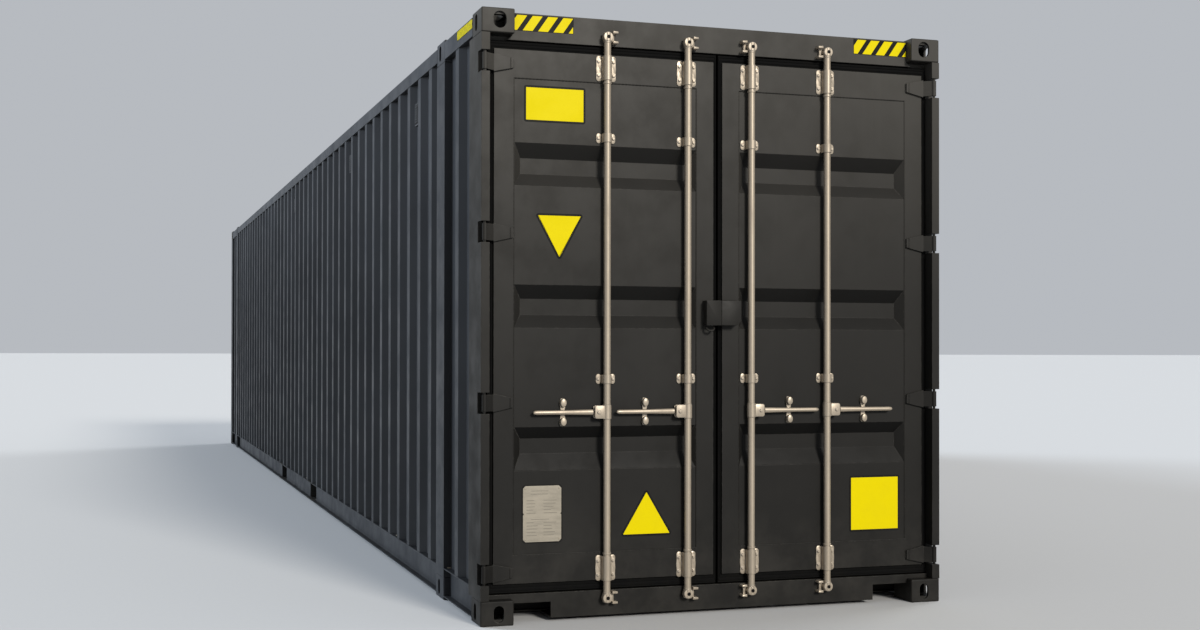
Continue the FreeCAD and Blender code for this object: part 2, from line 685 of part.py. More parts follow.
def groove_pan(index, extra):
    """The space of one pressed groove, grown all round by extra at the sheet's back."""
    span = ("leaf_inner + inner_stile + groove_end", f"{LEAF_OUTER} - outer_stile - groove_end")
    pan = doc.addObject("Part::Wedge", "groove")
    name = f"groove_{index}"
    limits = {
        "Xmin": f"{span[0]} - {extra}", "Xmax": f"{span[1]} + {extra}",
        "Ymin": "0", "Ymax": f"groove_deep + {extra}",
        "Zmin": f"{name}d - {extra}", "Zmax": f"{name}a + {extra}",
        "X2min": f"{span[0]} + groove_slope - {extra}",
        "X2max": f"{span[1]} - groove_slope + {extra}",
        "Z2min": f"{name}c - {extra}", "Z2max": f"{name}b + {extra}",
    }
    for prop, text in limits.items():
        pan.setExpression(prop, link(text))
    pan.Placement.Rotation = FreeCAD.Rotation(FreeCAD.Vector(0, 0, 1), 90)
    place(pan, depth("leaf_front + panel_inset"), "0", "0")
    return pan


def make_leaf_panel(label, mirrored):
    """Pressed sheet with level grooves, between the stiles and rails of a leaf."""
    front = depth("leaf_front + panel_inset")
    sheet_block = block((f"{front} - skin", front),
                        ("leaf_inner + inner_stile", f"{LEAF_OUTER} - outer_stile"),
                        ("leaf_low + leaf_rail", "leaf_high - leaf_rail"))
    numbers = range(1, len(GROOVES) + 1)
    backs = [groove_pan(index, "skin") for index in numbers]
    hollows = [groove_pan(index, "0") for index in numbers]
    panel = cut(fuse(sheet_block, *backs), *hollows)
    node(label, mirror(panel, (0, 1, 0)) if mirrored else panel)


def make_leaf_seal(label, mirrored):
    """Rubber seal round a leaf's edge, short of the frame so that it swings clear."""
    back = depth("seal_front + seal_thick")
    front = depth("seal_front")
    outer = block((back, front), ("seal_meet", f"{SIDE} - post_bar - seal_gap"),
                  ("sill_top + seal_gap", "header_low - seal_gap"))
    inner = block((back, front), ("leaf_inner", LEAF_OUTER), ("leaf_low", "leaf_high"))
    seal = cut(outer, inner)
    node(label, mirror(seal, (0, 1, 0)) if mirrored else seal)


def hinge_blade(index):
    """Blade on the leaf, a neck past the post's corner and a bored knuckle."""
    middle = hinge_height(index)
    blade_x = (depth("blade_front + blade_thick"), depth("blade_front"))
    outline = [(f"{PIN_ACROSS} - blade_clear", f"{middle} - blade_root / 2"),
               (f"{PIN_ACROSS} - blade_clear", f"{middle} + blade_root / 2"),
               (BLADE_END, f"{middle} + blade_tip / 2"),
               (BLADE_END, f"{middle} - blade_tip / 2")]
    blade = pad("hinge_blade", "YZ_Plane", outline, blade_x[0], "blade_thick")
    pin_x = depth("pin_deep")
    knuckle_low = f"{middle} - knuckle_high / 2"
    neck_outline = [(blade_x[0], f"{PIN_ACROSS} - blade_clear + neck_lap"),
                    (blade_x[1], f"{PIN_ACROSS} - blade_clear + neck_lap"),
                    (f"{pin_x} + neck_front", f"{PIN_ACROSS} - neck_far"),
                    (f"{pin_x} - neck_back", f"{PIN_ACROSS} - neck_near")]
    neck = pad("hinge_neck", "XY_Plane", neck_outline, knuckle_low, "knuckle_high")
    knuckle = rod_along("z", "knuckle_dia", (pin_x, PIN_ACROSS, knuckle_low), "knuckle_high")
    bore = rod_along("z", "pin_dia + 2 * pin_play", (pin_x, PIN_ACROSS, knuckle_low),
                     "knuckle_high")
    return cut(fuse(blade, neck, knuckle), bore)


def make_hinge_blades(label, mirrored):
    blades = [hinge_blade(index) for index in range(HINGES_PER_LEAF)]
    node(label, *([mirror(blade, (0, 1, 0)) for blade in blades] if mirrored else blades))


# ---------------------------------------------------------------- locking gear
def rod_bracket(rod, level, high, seat):
    """Saddle bolted to the leaf that holds a rod in a bored bearing."""
    low = f"{level} - {high} / 2"
    face = depth(seat)
    foot = block((face, f"{face} + bracket_thick"),
                 (f"{rod} - bracket_wide / 2", f"{rod} + bracket_wide / 2"),
                 (low, f"{low} + {high}"))
    rod_x = depth("rod_deep")
    saddle = rod_along("z", "rod_dia + 2 * saddle_wall", (rod_x, rod, low), high)
    half = "(rod_dia / 2 + saddle_wall)"
    riser = block((face, rod_x), (f"{rod} - {half}", f"{rod} + {half}"),
                  (low, f"{low} + {high}"))
    bore = rod_along("z", "rod_dia + 2 * rod_play", (rod_x, rod, low), high)
    return cut(fuse(foot, saddle, riser), bore)


def make_rod_brackets(label, mirrored):
    brackets = []
    for rod in ("inner_rod", "outer_rod"):
        for level in BIG_BRACKETS:
            brackets.append(rod_bracket(rod, str(level), "big_bracket", "leaf_front"))
        for level in SMALL_BRACKETS:
            brackets.append(rod_bracket(rod, str(level), "small_bracket",
                                        "leaf_front + panel_inset"))
    node(label, *([mirror(item, (0, 1, 0)) for item in brackets] if mirrored else brackets))


def lock_rod(rod):
    """Rod with a cam hub at each end and the yoke that carries its handle."""
    rod_x = depth("rod_deep")
    shaft = rod_along("z", "rod_dia", (rod_x, rod, "rod_low"), "rod_high - rod_low")
    cams = [rod_along("z", "cam_dia", (rod_x, rod, low), "cam_high")
            for low in ("rod_low - cam_proud", "rod_high + cam_proud - cam_high")]
    half = "(handle_thick / 2 + yoke_gap)"
    level = ("handle_height - yoke_high / 2", "handle_height + yoke_high / 2")
    collar = rod_along("z", "cam_dia", (rod_x, rod, level[0]), "yoke_high")
    far = f"{rod} + handle_pivot + handle_pin"
    cheeks = [block((f"{rod_x} + {half}", f"{rod_x} + {half} + yoke_plate"), (rod, far), level),
              block((f"{rod_x} - {half} - yoke_plate", f"{rod_x} - {half}"), (rod, far), level)]
    pin = rod_along("x", "handle_pin", (f"{rod_x} - {half}", f"{rod} + handle_pivot",
                                        "handle_height"), f"2 * ({half})")
    return fuse(shaft, *cams, collar, *cheeks, pin)


def lock_handle(rod):
    """Flat bar from the yoke toward the hinges, with round ends."""
    rod_x = depth("rod_deep")
    back = f"{rod_x} - handle_thick / 2"
    pivot = f"{rod} + handle_pivot"
    tip = f"{rod} + handle_reach - handle_bar / 2"
    bar = block((back, f"{rod_x} + handle_thick / 2"), (pivot, tip),
                ("handle_height - handle_bar / 2", "handle_height + handle_bar / 2"))
    rounds = [rod_along("x", "handle_bar", (back, place_y, "handle_height"), "handle_thick")
              for place_y in (pivot, tip)]
    bore = rod_along("x", "handle_pin + 2 * pin_play", (back, pivot, "handle_height"),
                     "handle_thick")
    return cut(fuse(bar, *rounds), bore)


def make_locking_gear():
    for place_name in ("inner", "outer"):
        rod = f"{place_name}_rod"
        for side in ("right", "left"):
            shaft = lock_rod(rod)
            handle = lock_handle(rod)
            if side == "left":
                shaft = mirror(shaft, (0, 1, 0))
                handle = mirror(handle, (0, 1, 0))
            node(f"{side}_{place_name}_rod", shaft)
            node(f"{side}_{place_name}_handle", handle)


def make_retainers(label, mirrored):
    """Plates behind the handles, each with a round upper and lower lobe."""
    face = depth("leaf_front + panel_inset")
    items = []
    for rod in ("inner_rod", "outer_rod"):
        centre = f"{rod} + retainer_out"
        reach = "(retainer_high - retainer_wide) / 2"
        level = (f"handle_height - {reach}", f"handle_height + {reach}")
        plate = block((face, f"{face} + retainer_plate"),
                      (f"{centre} - retainer_waist / 2", f"{centre} + retainer_waist / 2"), level)
        lobes = [rod_along("x", "retainer_wide", (face, centre, height), "lobe_proud")
                 for height in level]
        items.append(fuse(plate, *lobes))
    node(label, *([mirror(item, (0, 1, 0)) for item in items] if mirrored else items))


def make_keepers():
    """Fixed jaws beside each cam, two level fingers open to the front."""
    face = depth("header_front")
    keepers = []
    for rod in ("inner_rod", "outer_rod"):
        for level in ("rod_low - cam_proud + cam_high / 2",
                      "rod_high + cam_proud - cam_high / 2"):
            outer = f"{rod} - keeper_gap"
            inner = f"{outer} - keeper_wide"
            low, high = f"{level} - keeper_high / 2", f"{level} + keeper_high / 2"
            back = block((face, f"{face} + keeper_finger"), (inner, outer), (low, high))
            fingers = [block((face, f"{face} + keeper_reach"), (inner, outer), span)
                       for span in ((low, f"{low} + keeper_finger"),
                                    (f"{high} - keeper_finger", high))]
            keepers += both_sides(fuse(back, *fingers))
    node("rod_keepers", *keepers)


def make_lock_box():
    """Cover on the right leaf and staple block on the left, split where the leaves meet."""
    face = depth("leaf_front")
    front = f"{face} + box_proud"
    split = "box_gap / 2"
    cover = rounded_block((face, front), (split, "box_right"), ("box_low", "box_high"), "box_wall")
    hollow = block((face, f"{front} - box_wall"), (f"{split} + box_wall", "box_right - box_wall"),
                   ("box_low", "box_high - box_wall"))
    node("lock_box_cover", cut(cover, hollow))
    body = rounded_block((face, f"{front} - 2 * box_wall"), ("-box_left", "-box_lip"),
                         ("box_low", "box_high"), "box_wall")
    lip = rounded_block((face, front), ("-box_lip", f"-({split})"), ("box_low", "box_high"),
                        "lip_round")
    eye_centre = (f"{face} + box_wall", "-(box_left - box_wall + box_lip) / 2",
                  "box_low - staple_drop")
    staple = block((f"{face} + box_wall", f"{face} + box_wall + staple_thick"),
                   ("-box_left + box_wall", "-box_lip"),
                   ("box_low - staple_drop", "box_low + box_wall"))
    round_end = rod_along("x", "box_left - box_wall - box_lip", eye_centre, "staple_thick")
    bore = rod_along("x", "staple_eye", eye_centre, "staple_thick")
    node("lock_box_staple", cut(fuse(body, lip, staple, round_end), bore))


def make_data_plate():
    """Metal plate low on the left leaf: cut corners and a notch in each long edge."""
    half, snip, notch = "plate_wide / 2", "plate_corner", "plate_notch"
    middle = "(plate_low + plate_high) / 2"
    right_edge = [(f"{half} - {snip}", "plate_low"), (half, f"plate_low + {snip}"),
                  (half, f"{middle} - {notch}"), (f"{half} - {notch}", middle),
                  (half, f"{middle} + {notch}"), (half, f"plate_high - {snip}"),
                  (f"{half} - {snip}", "plate_high")]
    outline = [(f"-plate_centre + {across}", up) for across, up in right_edge]
    outline += [(f"-plate_centre - ({across})", up) for across, up in reversed(right_edge)]
    node("data_plate", pad("data_plate_sheet", "YZ_Plane", outline,
                           depth("leaf_front + panel_inset"), "plate_thick"))


# ---------------------------------------------------------------- assembly
make_castings()
make_door_posts()
make_hinge_pins()
make_header()
make_sill()
make_front_end()
make_forty_posts()
make_side_rails()
make_side_walls()
make_front_wall()
make_roof()
make_floor()
make_cross_members()
make_fork_pockets()
make_vents()
for leaf_side, is_mirrored in (("right", False), ("left", True)):
    make_leaf_frame(f"{leaf_side}_door_frame", is_mirrored)
    make_leaf_panel(f"{leaf_side}_door_panel", is_mirrored)
    make_leaf_seal(f"{leaf_side}_door_seal", is_mirrored)
    make_hinge_blades(f"{leaf_side}_hinge_blades", is_mirrored)
    make_rod_brackets(f"{leaf_side}_rod_brackets", is_mirrored)
    make_retainers(f"{leaf_side}_handle_retainers", is_mirrored)
make_locking_gear()
make_keepers()
make_lock_box()
make_data_plate()
doc.recompute()

for item in doc.Objects:
    faults = {"Invalid", "Error"} & set(item.State)
    if faults:
        raise RuntimeError(f"{item.Label}: {sorted(faults)}")
for label, item in nodes.items():
    if item.Shape.isNull() or not item.Shape.isValid() or not item.Shape.Solids:
        raise RuntimeError(f"{label}: no valid solid")
    item.Shape.exportStep(f"parts/{label}.step")
print(len(nodes), "sub-parts written")
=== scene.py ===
"""Looks of the forty-five foot container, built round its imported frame.

Metres, row frame: +X toward the doors, +Y right when facing the doors, +Z up.
"""
import json
import math
import random

import bmesh
import bpy
from mathutils import Matrix, Vector


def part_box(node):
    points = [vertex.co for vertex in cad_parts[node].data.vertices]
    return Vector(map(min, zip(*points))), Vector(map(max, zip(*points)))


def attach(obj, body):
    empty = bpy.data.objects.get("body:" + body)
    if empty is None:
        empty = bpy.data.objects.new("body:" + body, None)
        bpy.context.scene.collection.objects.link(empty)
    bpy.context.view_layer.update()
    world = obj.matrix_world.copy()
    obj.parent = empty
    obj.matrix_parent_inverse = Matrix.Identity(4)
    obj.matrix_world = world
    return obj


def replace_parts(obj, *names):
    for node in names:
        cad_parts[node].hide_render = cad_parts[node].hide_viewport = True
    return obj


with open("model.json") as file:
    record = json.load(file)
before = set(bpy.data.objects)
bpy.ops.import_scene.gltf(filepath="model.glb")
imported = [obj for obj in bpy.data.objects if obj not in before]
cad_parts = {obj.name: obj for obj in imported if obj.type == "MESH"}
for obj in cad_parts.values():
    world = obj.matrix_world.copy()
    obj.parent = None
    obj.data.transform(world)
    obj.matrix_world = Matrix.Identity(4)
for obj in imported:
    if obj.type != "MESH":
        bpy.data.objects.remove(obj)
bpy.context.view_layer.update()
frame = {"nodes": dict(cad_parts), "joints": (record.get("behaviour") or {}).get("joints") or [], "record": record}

MM = 0.001
SIDES = (("left", -1), ("right", 1))
RODS = ("inner", "outer")
NODES = frame["nodes"]
JOINTS = {joint["name"]: joint for joint in frame["joints"]}
CHANCE = random.Random(45)

BOX = {name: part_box(name) for name in NODES}
FRONT = BOX["top_corner_castings"][1][0]      # door-end face of the castings
TOP = BOX["top_corner_castings"][1][2]
LEAF_FACE = BOX["right_door_frame"][1][0]
PANEL_FACE = LEAF_FACE - 3 * MM
ROD_X = JOINTS["right_inner_rod_turn"]["pos_m"][0]
ROD_Y = {"inner": 0.170, "outer": 0.588}
ROD_RADIUS = 17 * MM
HANDLE_Z = JOINTS["right_inner_rod_turn"]["pos_m"][2]
BIG_LEVELS = (0.245, 2.647)                   # middles of the brackets on each rod
SMALL_LEVELS = (1.152, 2.311)
BIG_HIGH, SMALL_HIGH = 123 * MM, 48 * MM
CAM_LEVELS = (0.104, 2.796)
HANDLE_START, HANDLE_REACH = 46 * MM, 370 * MM    # both from the rod's axis
BOARD_WIDE, BOARD_LONG = 0.148, 1.22          # spacing of the floor's seams


# ---------------------------------------------------------------- procedural finishes
class Finish:
    """A node material: nodes are added one by one and end at the Principled shader."""

    def __init__(self, name, **settings):
        self.material = bpy.data.materials.new(name)
        self.material.use_nodes = True
        self.tree = self.material.node_tree
        self.shader = self.tree.nodes["Principled BSDF"]
        for key, number in settings.items():
            self.shader.inputs[key.replace("_", " ")].default_value = number
        self.place = self.add("ShaderNodeTexCoord").outputs["Object"]

    def add(self, kind, feeds=None, **settings):
        made = self.tree.nodes.new(kind)
        for key, setting in settings.items():
            setattr(made, key, setting)
        for key, source in (feeds or {}).items():
            self.feed(made.inputs[key], source)
        return made

    def feed(self, socket, source):
        if isinstance(source, bpy.types.NodeSocket):
            self.tree.links.new(source, socket)
        else:
            socket.default_value = source

    def stretched(self, x, y, z):
        """Object coordinates multiplied along each axis."""
        scaled = self.add("ShaderNodeVectorMath", {0: self.place, 1: (x, y, z)},
                          operation="MULTIPLY")
        return scaled.outputs[0]

    def noise(self, scale, detail=3.0, rough=0.5, stretch=None):
        vector = self.stretched(*stretch) if stretch else self.place
        return self.add("ShaderNodeTexNoise", {"Vector": vector, "Scale": scale, "Detail": detail,
                                               "Roughness": rough}).outputs["Fac"]

    def ranged(self, source, low, high, out_low=0.0, out_high=1.0):
        return self.add("ShaderNodeMapRange", {
            "Value": source, "From Min": low, "From Max": high, "To Min": out_low,
            "To Max": out_high}, interpolation_type="SMOOTHSTEP").outputs["Result"]

    def maths(self, operation, first, second):
        return self.add("ShaderNodeMath", {0: first, 1: second}, operation=operation).outputs[0]

    def mixed(self, share, first, second, blend="MIX"):
        return self.add("ShaderNodeMix", {0: share, 6: first, 7: second}, data_type="RGBA",
                        blend_type=blend).outputs[2]

    def edges(self, radius):
        """1 along convex and concave edges, 0 on flat faces."""
        soft = self.add("ShaderNodeBevel", {"Radius": radius}, samples=4).outputs["Normal"]
        true = self.add("ShaderNodeNewGeometry").outputs["Normal"]
        facing = self.add("ShaderNodeVectorMath", {0: soft, 1: true},
                          operation="DOT_PRODUCT").outputs["Value"]
        return self.ranged(facing, 0.99, 0.86)

    def height(self):
        return self.add("ShaderNodeSeparateXYZ", {0: self.place}).outputs["Z"]

    def bump(self, source, distance, strength=1.0, under=None, radius=0.0):
        feeds = {"Height": source, "Distance": distance, "Strength": strength}
        if under is not None:
            feeds["Normal"] = under
        elif radius:
            feeds["Normal"] = self.add("ShaderNodeBevel", {"Radius": radius},
                                       samples=4).outputs["Normal"]
        return self.add("ShaderNodeBump", feeds).outputs["Normal"]

    def colour(self, source):
        self.feed(self.shader.inputs["Base Color"], source)

    def rough(self, source):
        self.feed(self.shader.inputs["Roughness"], source)

    def normal(self, source):
        self.feed(self.shader.inputs["Normal"], source)


def grey(level, warm=0.0):
    """A near-neutral linear colour, warm above 0 and cool below."""
    return (level * (1 + warm), level * (1 + 0.25 * warm), level * (1 - warm), 1.0)


def paint(name, base, edge_wear_and_highlight, dust, gloss=0.46, edge=4 * MM, low=1.0, dent=2 * MM):
    """Satin paint: clouds, streaks, lighter edges, dust low down, painted shade.

    The lighter edges are partly edge wear, partly a painted highlight. The painted shade darkens the tone towards
    the ground, darkens downward faces and, a little, upward faces:
    low is the tone's share at the ground, and rises to 1 at the roof.
    """
    look = Finish(name, Specular_IOR_Level=0.14)
    clouds = look.noise(0.9, 4.0, 0.6)
    streaks = look.noise(1.0, 5.0, 0.65, stretch=(14.0, 14.0, 0.6))
    grain = look.noise(90.0, 2.0)
    tone = look.mixed(look.ranged(clouds, 0.35, 0.68), tuple(0.86 * c for c in base[:3]) + (1,),
                      tuple(min(1.0, 1.12 * c) for c in base[:3]) + (1,))
    streak_share = look.ranged(streaks, 0.52, 0.78, 0.0, 0.28)
    tone = look.mixed(streak_share, tone, dust)
    # painted shade: the tone darkens towards the ground, on downward faces and, a little, on upward faces
    rise = look.maths("POWER", look.maths("DIVIDE", look.height(), TOP), 2.6)
    painted_ground_shade = look.maths("ADD", look.maths("MULTIPLY", rise, 1 - low), low)
    facing = look.add("ShaderNodeSeparateXYZ",
                      {0: look.add("ShaderNodeNewGeometry").outputs["Normal"]}).outputs["Z"]
    painted_underside_shade = look.ranged(facing, -0.5, -0.1, 0.3, 1.0)
    painted_topside_shade = look.ranged(facing, 0.1, 0.5, 1.0, 0.75)
    for share in (painted_ground_shade, painted_underside_shade, painted_topside_shade):
        tone = look.mixed(1.0, tone, share, "MULTIPLY")
    low_share = look.maths("MULTIPLY", look.ranged(look.height(), 0.75, 0.05, 0.0, 0.25),
                           look.ranged(look.noise(3.1, 5.0, 0.7), 0.35, 0.7))
    tone = look.mixed(low_share, tone, dust)
    # lighter edges, concave ones too: partly paint wear, partly a painted highlight
    wear_and_highlight_mask = look.maths("MULTIPLY", look.edges(edge),
                        look.ranged(look.noise(26.0, 4.0, 0.7), 0.42, 0.66, 0.15, 0.85))
    look.colour(look.mixed(wear_and_highlight_mask, tone, edge_wear_and_highlight))
    gloss_noise = look.ranged(look.noise(5.0, 4.0, 0.6), 0.3, 0.75, gloss - 0.07, gloss + 0.12)
    look.rough(gloss_noise)
    dents = look.bump(look.noise(1.6, 2.0), dent, 0.35, radius=edge)
    look.normal(look.bump(grain, 0.25 * MM, 0.35, under=dents))
    return look.material


def galvanised(name, base, dark, edge=1.5 * MM):
    """Hot-dipped zinc: patchy spangle, a dull darker film in patches, every edge lighter: partly wear, partly a
    painted highlight.
    """
    look = Finish(name, Metallic=0.55)
    cells = look.add("ShaderNodeTexVoronoi", {"Vector": look.place, "Scale": 75.0})
    spangle = look.ranged(cells.outputs["Color"], 0.1, 0.9, 0.0, 0.35)
    film = look.noise(9.0, 5.0, 0.65, stretch=(1.0, 1.0, 0.35))
    tone = look.mixed(spangle, base, tuple(0.88 * c for c in base[:3]) + (1,))
    tone = look.mixed(look.ranged(film, 0.45, 0.8, 0.0, 0.55), tone, dark)
    # lighter along every edge: partly zinc wear, partly a painted highlight
    wear_and_highlight_mask = look.maths("MULTIPLY", look.edges(edge), 0.4)
    look.colour(look.mixed(wear_and_highlight_mask, tone, grey(0.8, 0.04)))
    look.rough(look.ranged(film, 0.3, 0.75, 0.36, 0.58))
    look.normal(look.bump(look.noise(240.0, 3.0), 0.15 * MM, 0.4, radius=edge))
    return look.material


def rubber(name):
    look = Finish(name, Specular_IOR_Level=0.03)
    dusty = look.ranged(look.noise(7.0, 5.0, 0.7), 0.42, 0.75, 0.0, 0.5)
    look.colour(look.mixed(dusty, grey(0.004), grey(0.008, 0.1)))
    look.rough(look.ranged(dusty, 0.0, 0.5, 0.7, 0.9))
    look.normal(look.bump(look.noise(160.0, 2.0), 0.2 * MM, 0.5, radius=2 * MM))
    return look.material


def planks(name):
    """Worn wood: long grain, a dark seam round every board, scuffs."""
    look = Finish(name, Specular_IOR_Level=0.3)
    grain = look.noise(26.0, 6.0, 0.6, stretch=(0.06, 1.0, 1.0))
    boards = look.noise(1.0, 0.0, 0.0, stretch=(0.02, 3.4, 0.0))
    tone = look.mixed(look.ranged(grain, 0.3, 0.7), (0.24, 0.13, 0.065, 1), (0.42, 0.27, 0.15, 1))
    tone = look.mixed(look.ranged(boards, 0.35, 0.65, 0.0, 0.4), tone, (0.17, 0.1, 0.055, 1))
    parts = look.add("ShaderNodeSeparateXYZ", {0: look.place})
    for axis, pitch in (("Y", BOARD_WIDE), ("X", BOARD_LONG)):
        from_seam = look.maths("PINGPONG", parts.outputs[axis], pitch)
        tone = look.mixed(look.ranged(from_seam, 3 * MM, 1.2 * MM), tone, (0.03, 0.02, 0.012, 1))
    scuffs = look.ranged(look.noise(4.0, 6.0, 0.75, stretch=(0.35, 2.0, 1.0)), 0.55, 0.7, 0.0, 0.7)
    look.colour(look.mixed(scuffs, tone, grey(0.13, 0.12)))
    look.rough(look.ranged(grain, 0.3, 0.7, 0.5, 0.72))
    look.normal(look.bump(grain, 0.6 * MM, 0.5, radius=2 * MM))
    return look.material


def sticker(name, colour, faded):
    """Printed film: slight fading, dust and a soft satin."""
    look = Finish(name, Specular_IOR_Level=0.05)
    aged = look.ranged(look.noise(6.0, 5.0, 0.7), 0.35, 0.75, 0.0, 0.45)
    tone = look.mixed(aged, colour, faded)
    dust = look.ranged(look.noise(38.0, 5.0, 0.7), 0.62, 0.8, 0.0, 0.2)
    look.colour(look.mixed(dust, tone, (0.2, 0.15, 0.05, 1)))
    look.rough(look.ranged(aged, 0.0, 0.45, 0.38, 0.52))
    look.normal(look.bump(look.noise(30.0, 3.0), 0.12 * MM, 0.4, radius=0.5 * MM))
    return look.material


def plate_metal(name):
    """Stamped tin plate: brushed across, tarnished in patches."""
    look = Finish(name, Metallic=0.5)
    brushed = look.noise(55.0, 4.0, 0.6, stretch=(1.0, 0.12, 1.0))
    tarnish = look.ranged(look.noise(14.0, 5.0, 0.7), 0.45, 0.75, 0.0, 0.6)
    tone = look.mixed(brushed, grey(0.18, 0.17), grey(0.24, 0.17))
    look.colour(look.mixed(tarnish, tone, grey(0.17, 0.18)))
    look.rough(look.ranged(brushed, 0.3, 0.7, 0.34, 0.5))
    look.normal(look.bump(brushed, 0.1 * MM, 0.4, radius=1 * MM))
    return look.material


LOOKS = {
    # body_paint and door_paint are one paint: the cool tint of the sides and the warm tint of the doors are partly
    # painted light colour; low sets each paint's painted shade towards the ground
    "body_paint": paint("body_paint", grey(0.046, -0.08), grey(0.075, -0.03), grey(0.05, -0.02),
                        low=0.5),
    "door_paint": paint("door_paint", grey(0.036, 0.10), grey(0.08, 0.08), grey(0.048, 0.11), 0.5,
                        low=0.18),
    "base_paint": paint("base_paint", grey(0.02, 0.05), grey(0.06, 0.1), grey(0.06, 0.16), 0.62),
    "zinc": galvanised("zinc", (0.345, 0.292, 0.226, 1), (0.235, 0.195, 0.155, 1)),
    "seal_rubber": rubber("seal_rubber"),
    "floor_wood": planks("floor_wood"),
    "plate_metal": plate_metal("plate_metal"),
    "vent_plastic": paint("vent_plastic", grey(0.07, -0.04), grey(0.14), grey(0.10, 0.04),
                          0.5, 2 * MM),
    "weld": paint("weld", grey(0.036, 0.10), grey(0.07, 0.08), grey(0.05, 0.1), 0.55, 1 * MM,
                  low=0.2),
    "yellow_film": sticker("yellow_film", (0.58, 0.475, 0.0, 1), (0.53, 0.43, 0.0, 1)),
    "black_film": sticker("black_film", grey(0.006), grey(0.02, 0.05)),
    "print_film": sticker("print_film", grey(0.15, 0.15), grey(0.20, 0.15)),
    "dark_steel": galvanised("dark_steel", grey(0.10, 0.1), grey(0.05, 0.1)),
    # near-black sheets put inside openings: painted shade
    "painted_hole_shade": sticker("painted_hole_shade", grey(0.004), grey(0.01, 0.1)),
}
SLOTS = {row["node"]: row["material_slot"] for row in frame["record"]["subparts"]}
for node_name, part in NODES.items():
    part.data.materials.clear()
    part.data.materials.append(LOOKS[SLOTS[node_name]])


# ---------------------------------------------------------------- mesh building blocks
class Piece:
    """A mesh under construction, with one material per finish name used."""

    def __init__(self, name, body, slot, *finishes):
        self.name, self.body, self.slot = name, body, slot
        self.finishes = finishes
        self.bm = bmesh.new()

    def faces(self, corners, loops, finish=0):
        verts = [self.bm.verts.new(corner) for corner in corners]
        for loop in loops:
            self.bm.faces.new([verts[i] for i in loop]).material_index = finish
        return verts

    def done(self, sharp=35):
        bmesh.ops.recalc_face_normals(self.bm, faces=self.bm.faces)
        mesh = bpy.data.meshes.new(self.name)
        self.bm.to_mesh(mesh)
        self.bm.free()
        for finish in self.finishes:
            mesh.materials.append(LOOKS[finish])
        mesh.polygons.foreach_set("use_smooth", [True] * len(mesh.polygons))
        mesh.set_sharp_from_angle(angle=math.radians(sharp))
        thing = bpy.data.objects.new(self.name, mesh)
        bpy.context.collection.objects.link(thing)
        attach(thing, self.body)
        return thing


def axes_of(normal):
    """Two directions square to a normal: level first, then up."""
    normal = Vector(normal).normalized()
    aside = Vector((0, 0, 1)).cross(normal)
    if aside.length < 0.1:
        aside = Vector((0, 1, 0))
    aside.normalize()
    return aside, normal.cross(aside), normal


def slab(piece, outline, at, normal, thick, round_off=0.0, finish=0):
    """A flat plate: a closed outline in the plane square to normal, its front edge eased."""
    aside, up, out = axes_of(normal)
    at = Vector(at)
    middle = Vector((sum(p[0] for p in outline), sum(p[1] for p in outline))) / len(outline)
    rings = [(0.0, 0.0), (thick - round_off, 0.0)]
    if round_off:
        rings += [(thick - 0.3 * round_off, 0.3 * round_off), (thick, round_off)]
    corners = []
    for height, inset in rings:
        for place in outline:
            spoke = Vector(place) - middle
            shrunk = middle + spoke * max(0.0, 1 - inset / max(spoke.length, 1e-6))
            corners.append(at + aside * shrunk.x + up * shrunk.y + out * height)
    count = len(outline)
    loops = [tuple(range(count))[::-1], tuple(range(count * (len(rings) - 1), count * len(rings)))]
    for ring in range(len(rings) - 1):
        for i in range(count):
            j = (i + 1) % count
            loops.append((ring * count + i, ring * count + j,
                          (ring + 1) * count + j, (ring + 1) * count + i))
    piece.faces(corners, loops, finish)


def rounded_rectangle(wide, high, radius, steps=4, centre=(0.0, 0.0)):
    places = []
    for turn, (sx, sy) in enumerate(((1, 1), (-1, 1), (-1, -1), (1, -1))):
        for step in range(steps + 1):
            angle = math.pi / 2 * (turn + step / steps)
            places.append((centre[0] + sx * (wide / 2 - radius) + radius * math.cos(angle),
                           centre[1] + sy * (high / 2 - radius) + radius * math.sin(angle)))
    return places


def rounded_outline(corners, radius, steps=4):
    """A polygon whose corners are turned off on arcs that touch both edges."""
    places = []
    for i, corner in enumerate(corners):
        here = Vector(corner)
        before = (Vector(corners[i - 1]) - here).normalized()
        after = (Vector(corners[(i + 1) % len(corners)]) - here).normalized()
        half = math.acos(max(-1, min(1, before.dot(after)))) / 2
        start = here + before * radius / math.tan(half)
        stop = here + after * radius / math.tan(half)
        hub = here + (before + after).normalized() * radius / math.sin(half)
        for step in range(steps + 1):
            spoke = (start - hub).lerp(stop - hub, step / steps).normalized() * radius
            places.append(tuple(hub + spoke))
    return places


def turned(piece, profile, at, axis, sides=16, finish=0, spin=0.0):
    """A lathe form: (radius, distance along axis) pairs from one end to the other."""
    aside, up, out = axes_of(axis)
    at = Vector(at)
    corners, loops = [], []
    for radius, along in profile:
        for i in range(sides):
            angle = 2 * math.pi * i / sides + spin
            corners.append(at + out * along
                           + (aside * math.cos(angle) + up * math.sin(angle)) * radius)
    for ring in range(len(profile) - 1):
        for i in range(sides):
            j = (i + 1) % sides
            loops.append((ring * sides + i, ring * sides + j,
                          (ring + 1) * sides + j, (ring + 1) * sides + i))
    loops.append(tuple(range(sides))[::-1])
    loops.append(tuple(range(sides * (len(profile) - 1), sides * len(profile))))
    piece.faces(corners, loops, finish)


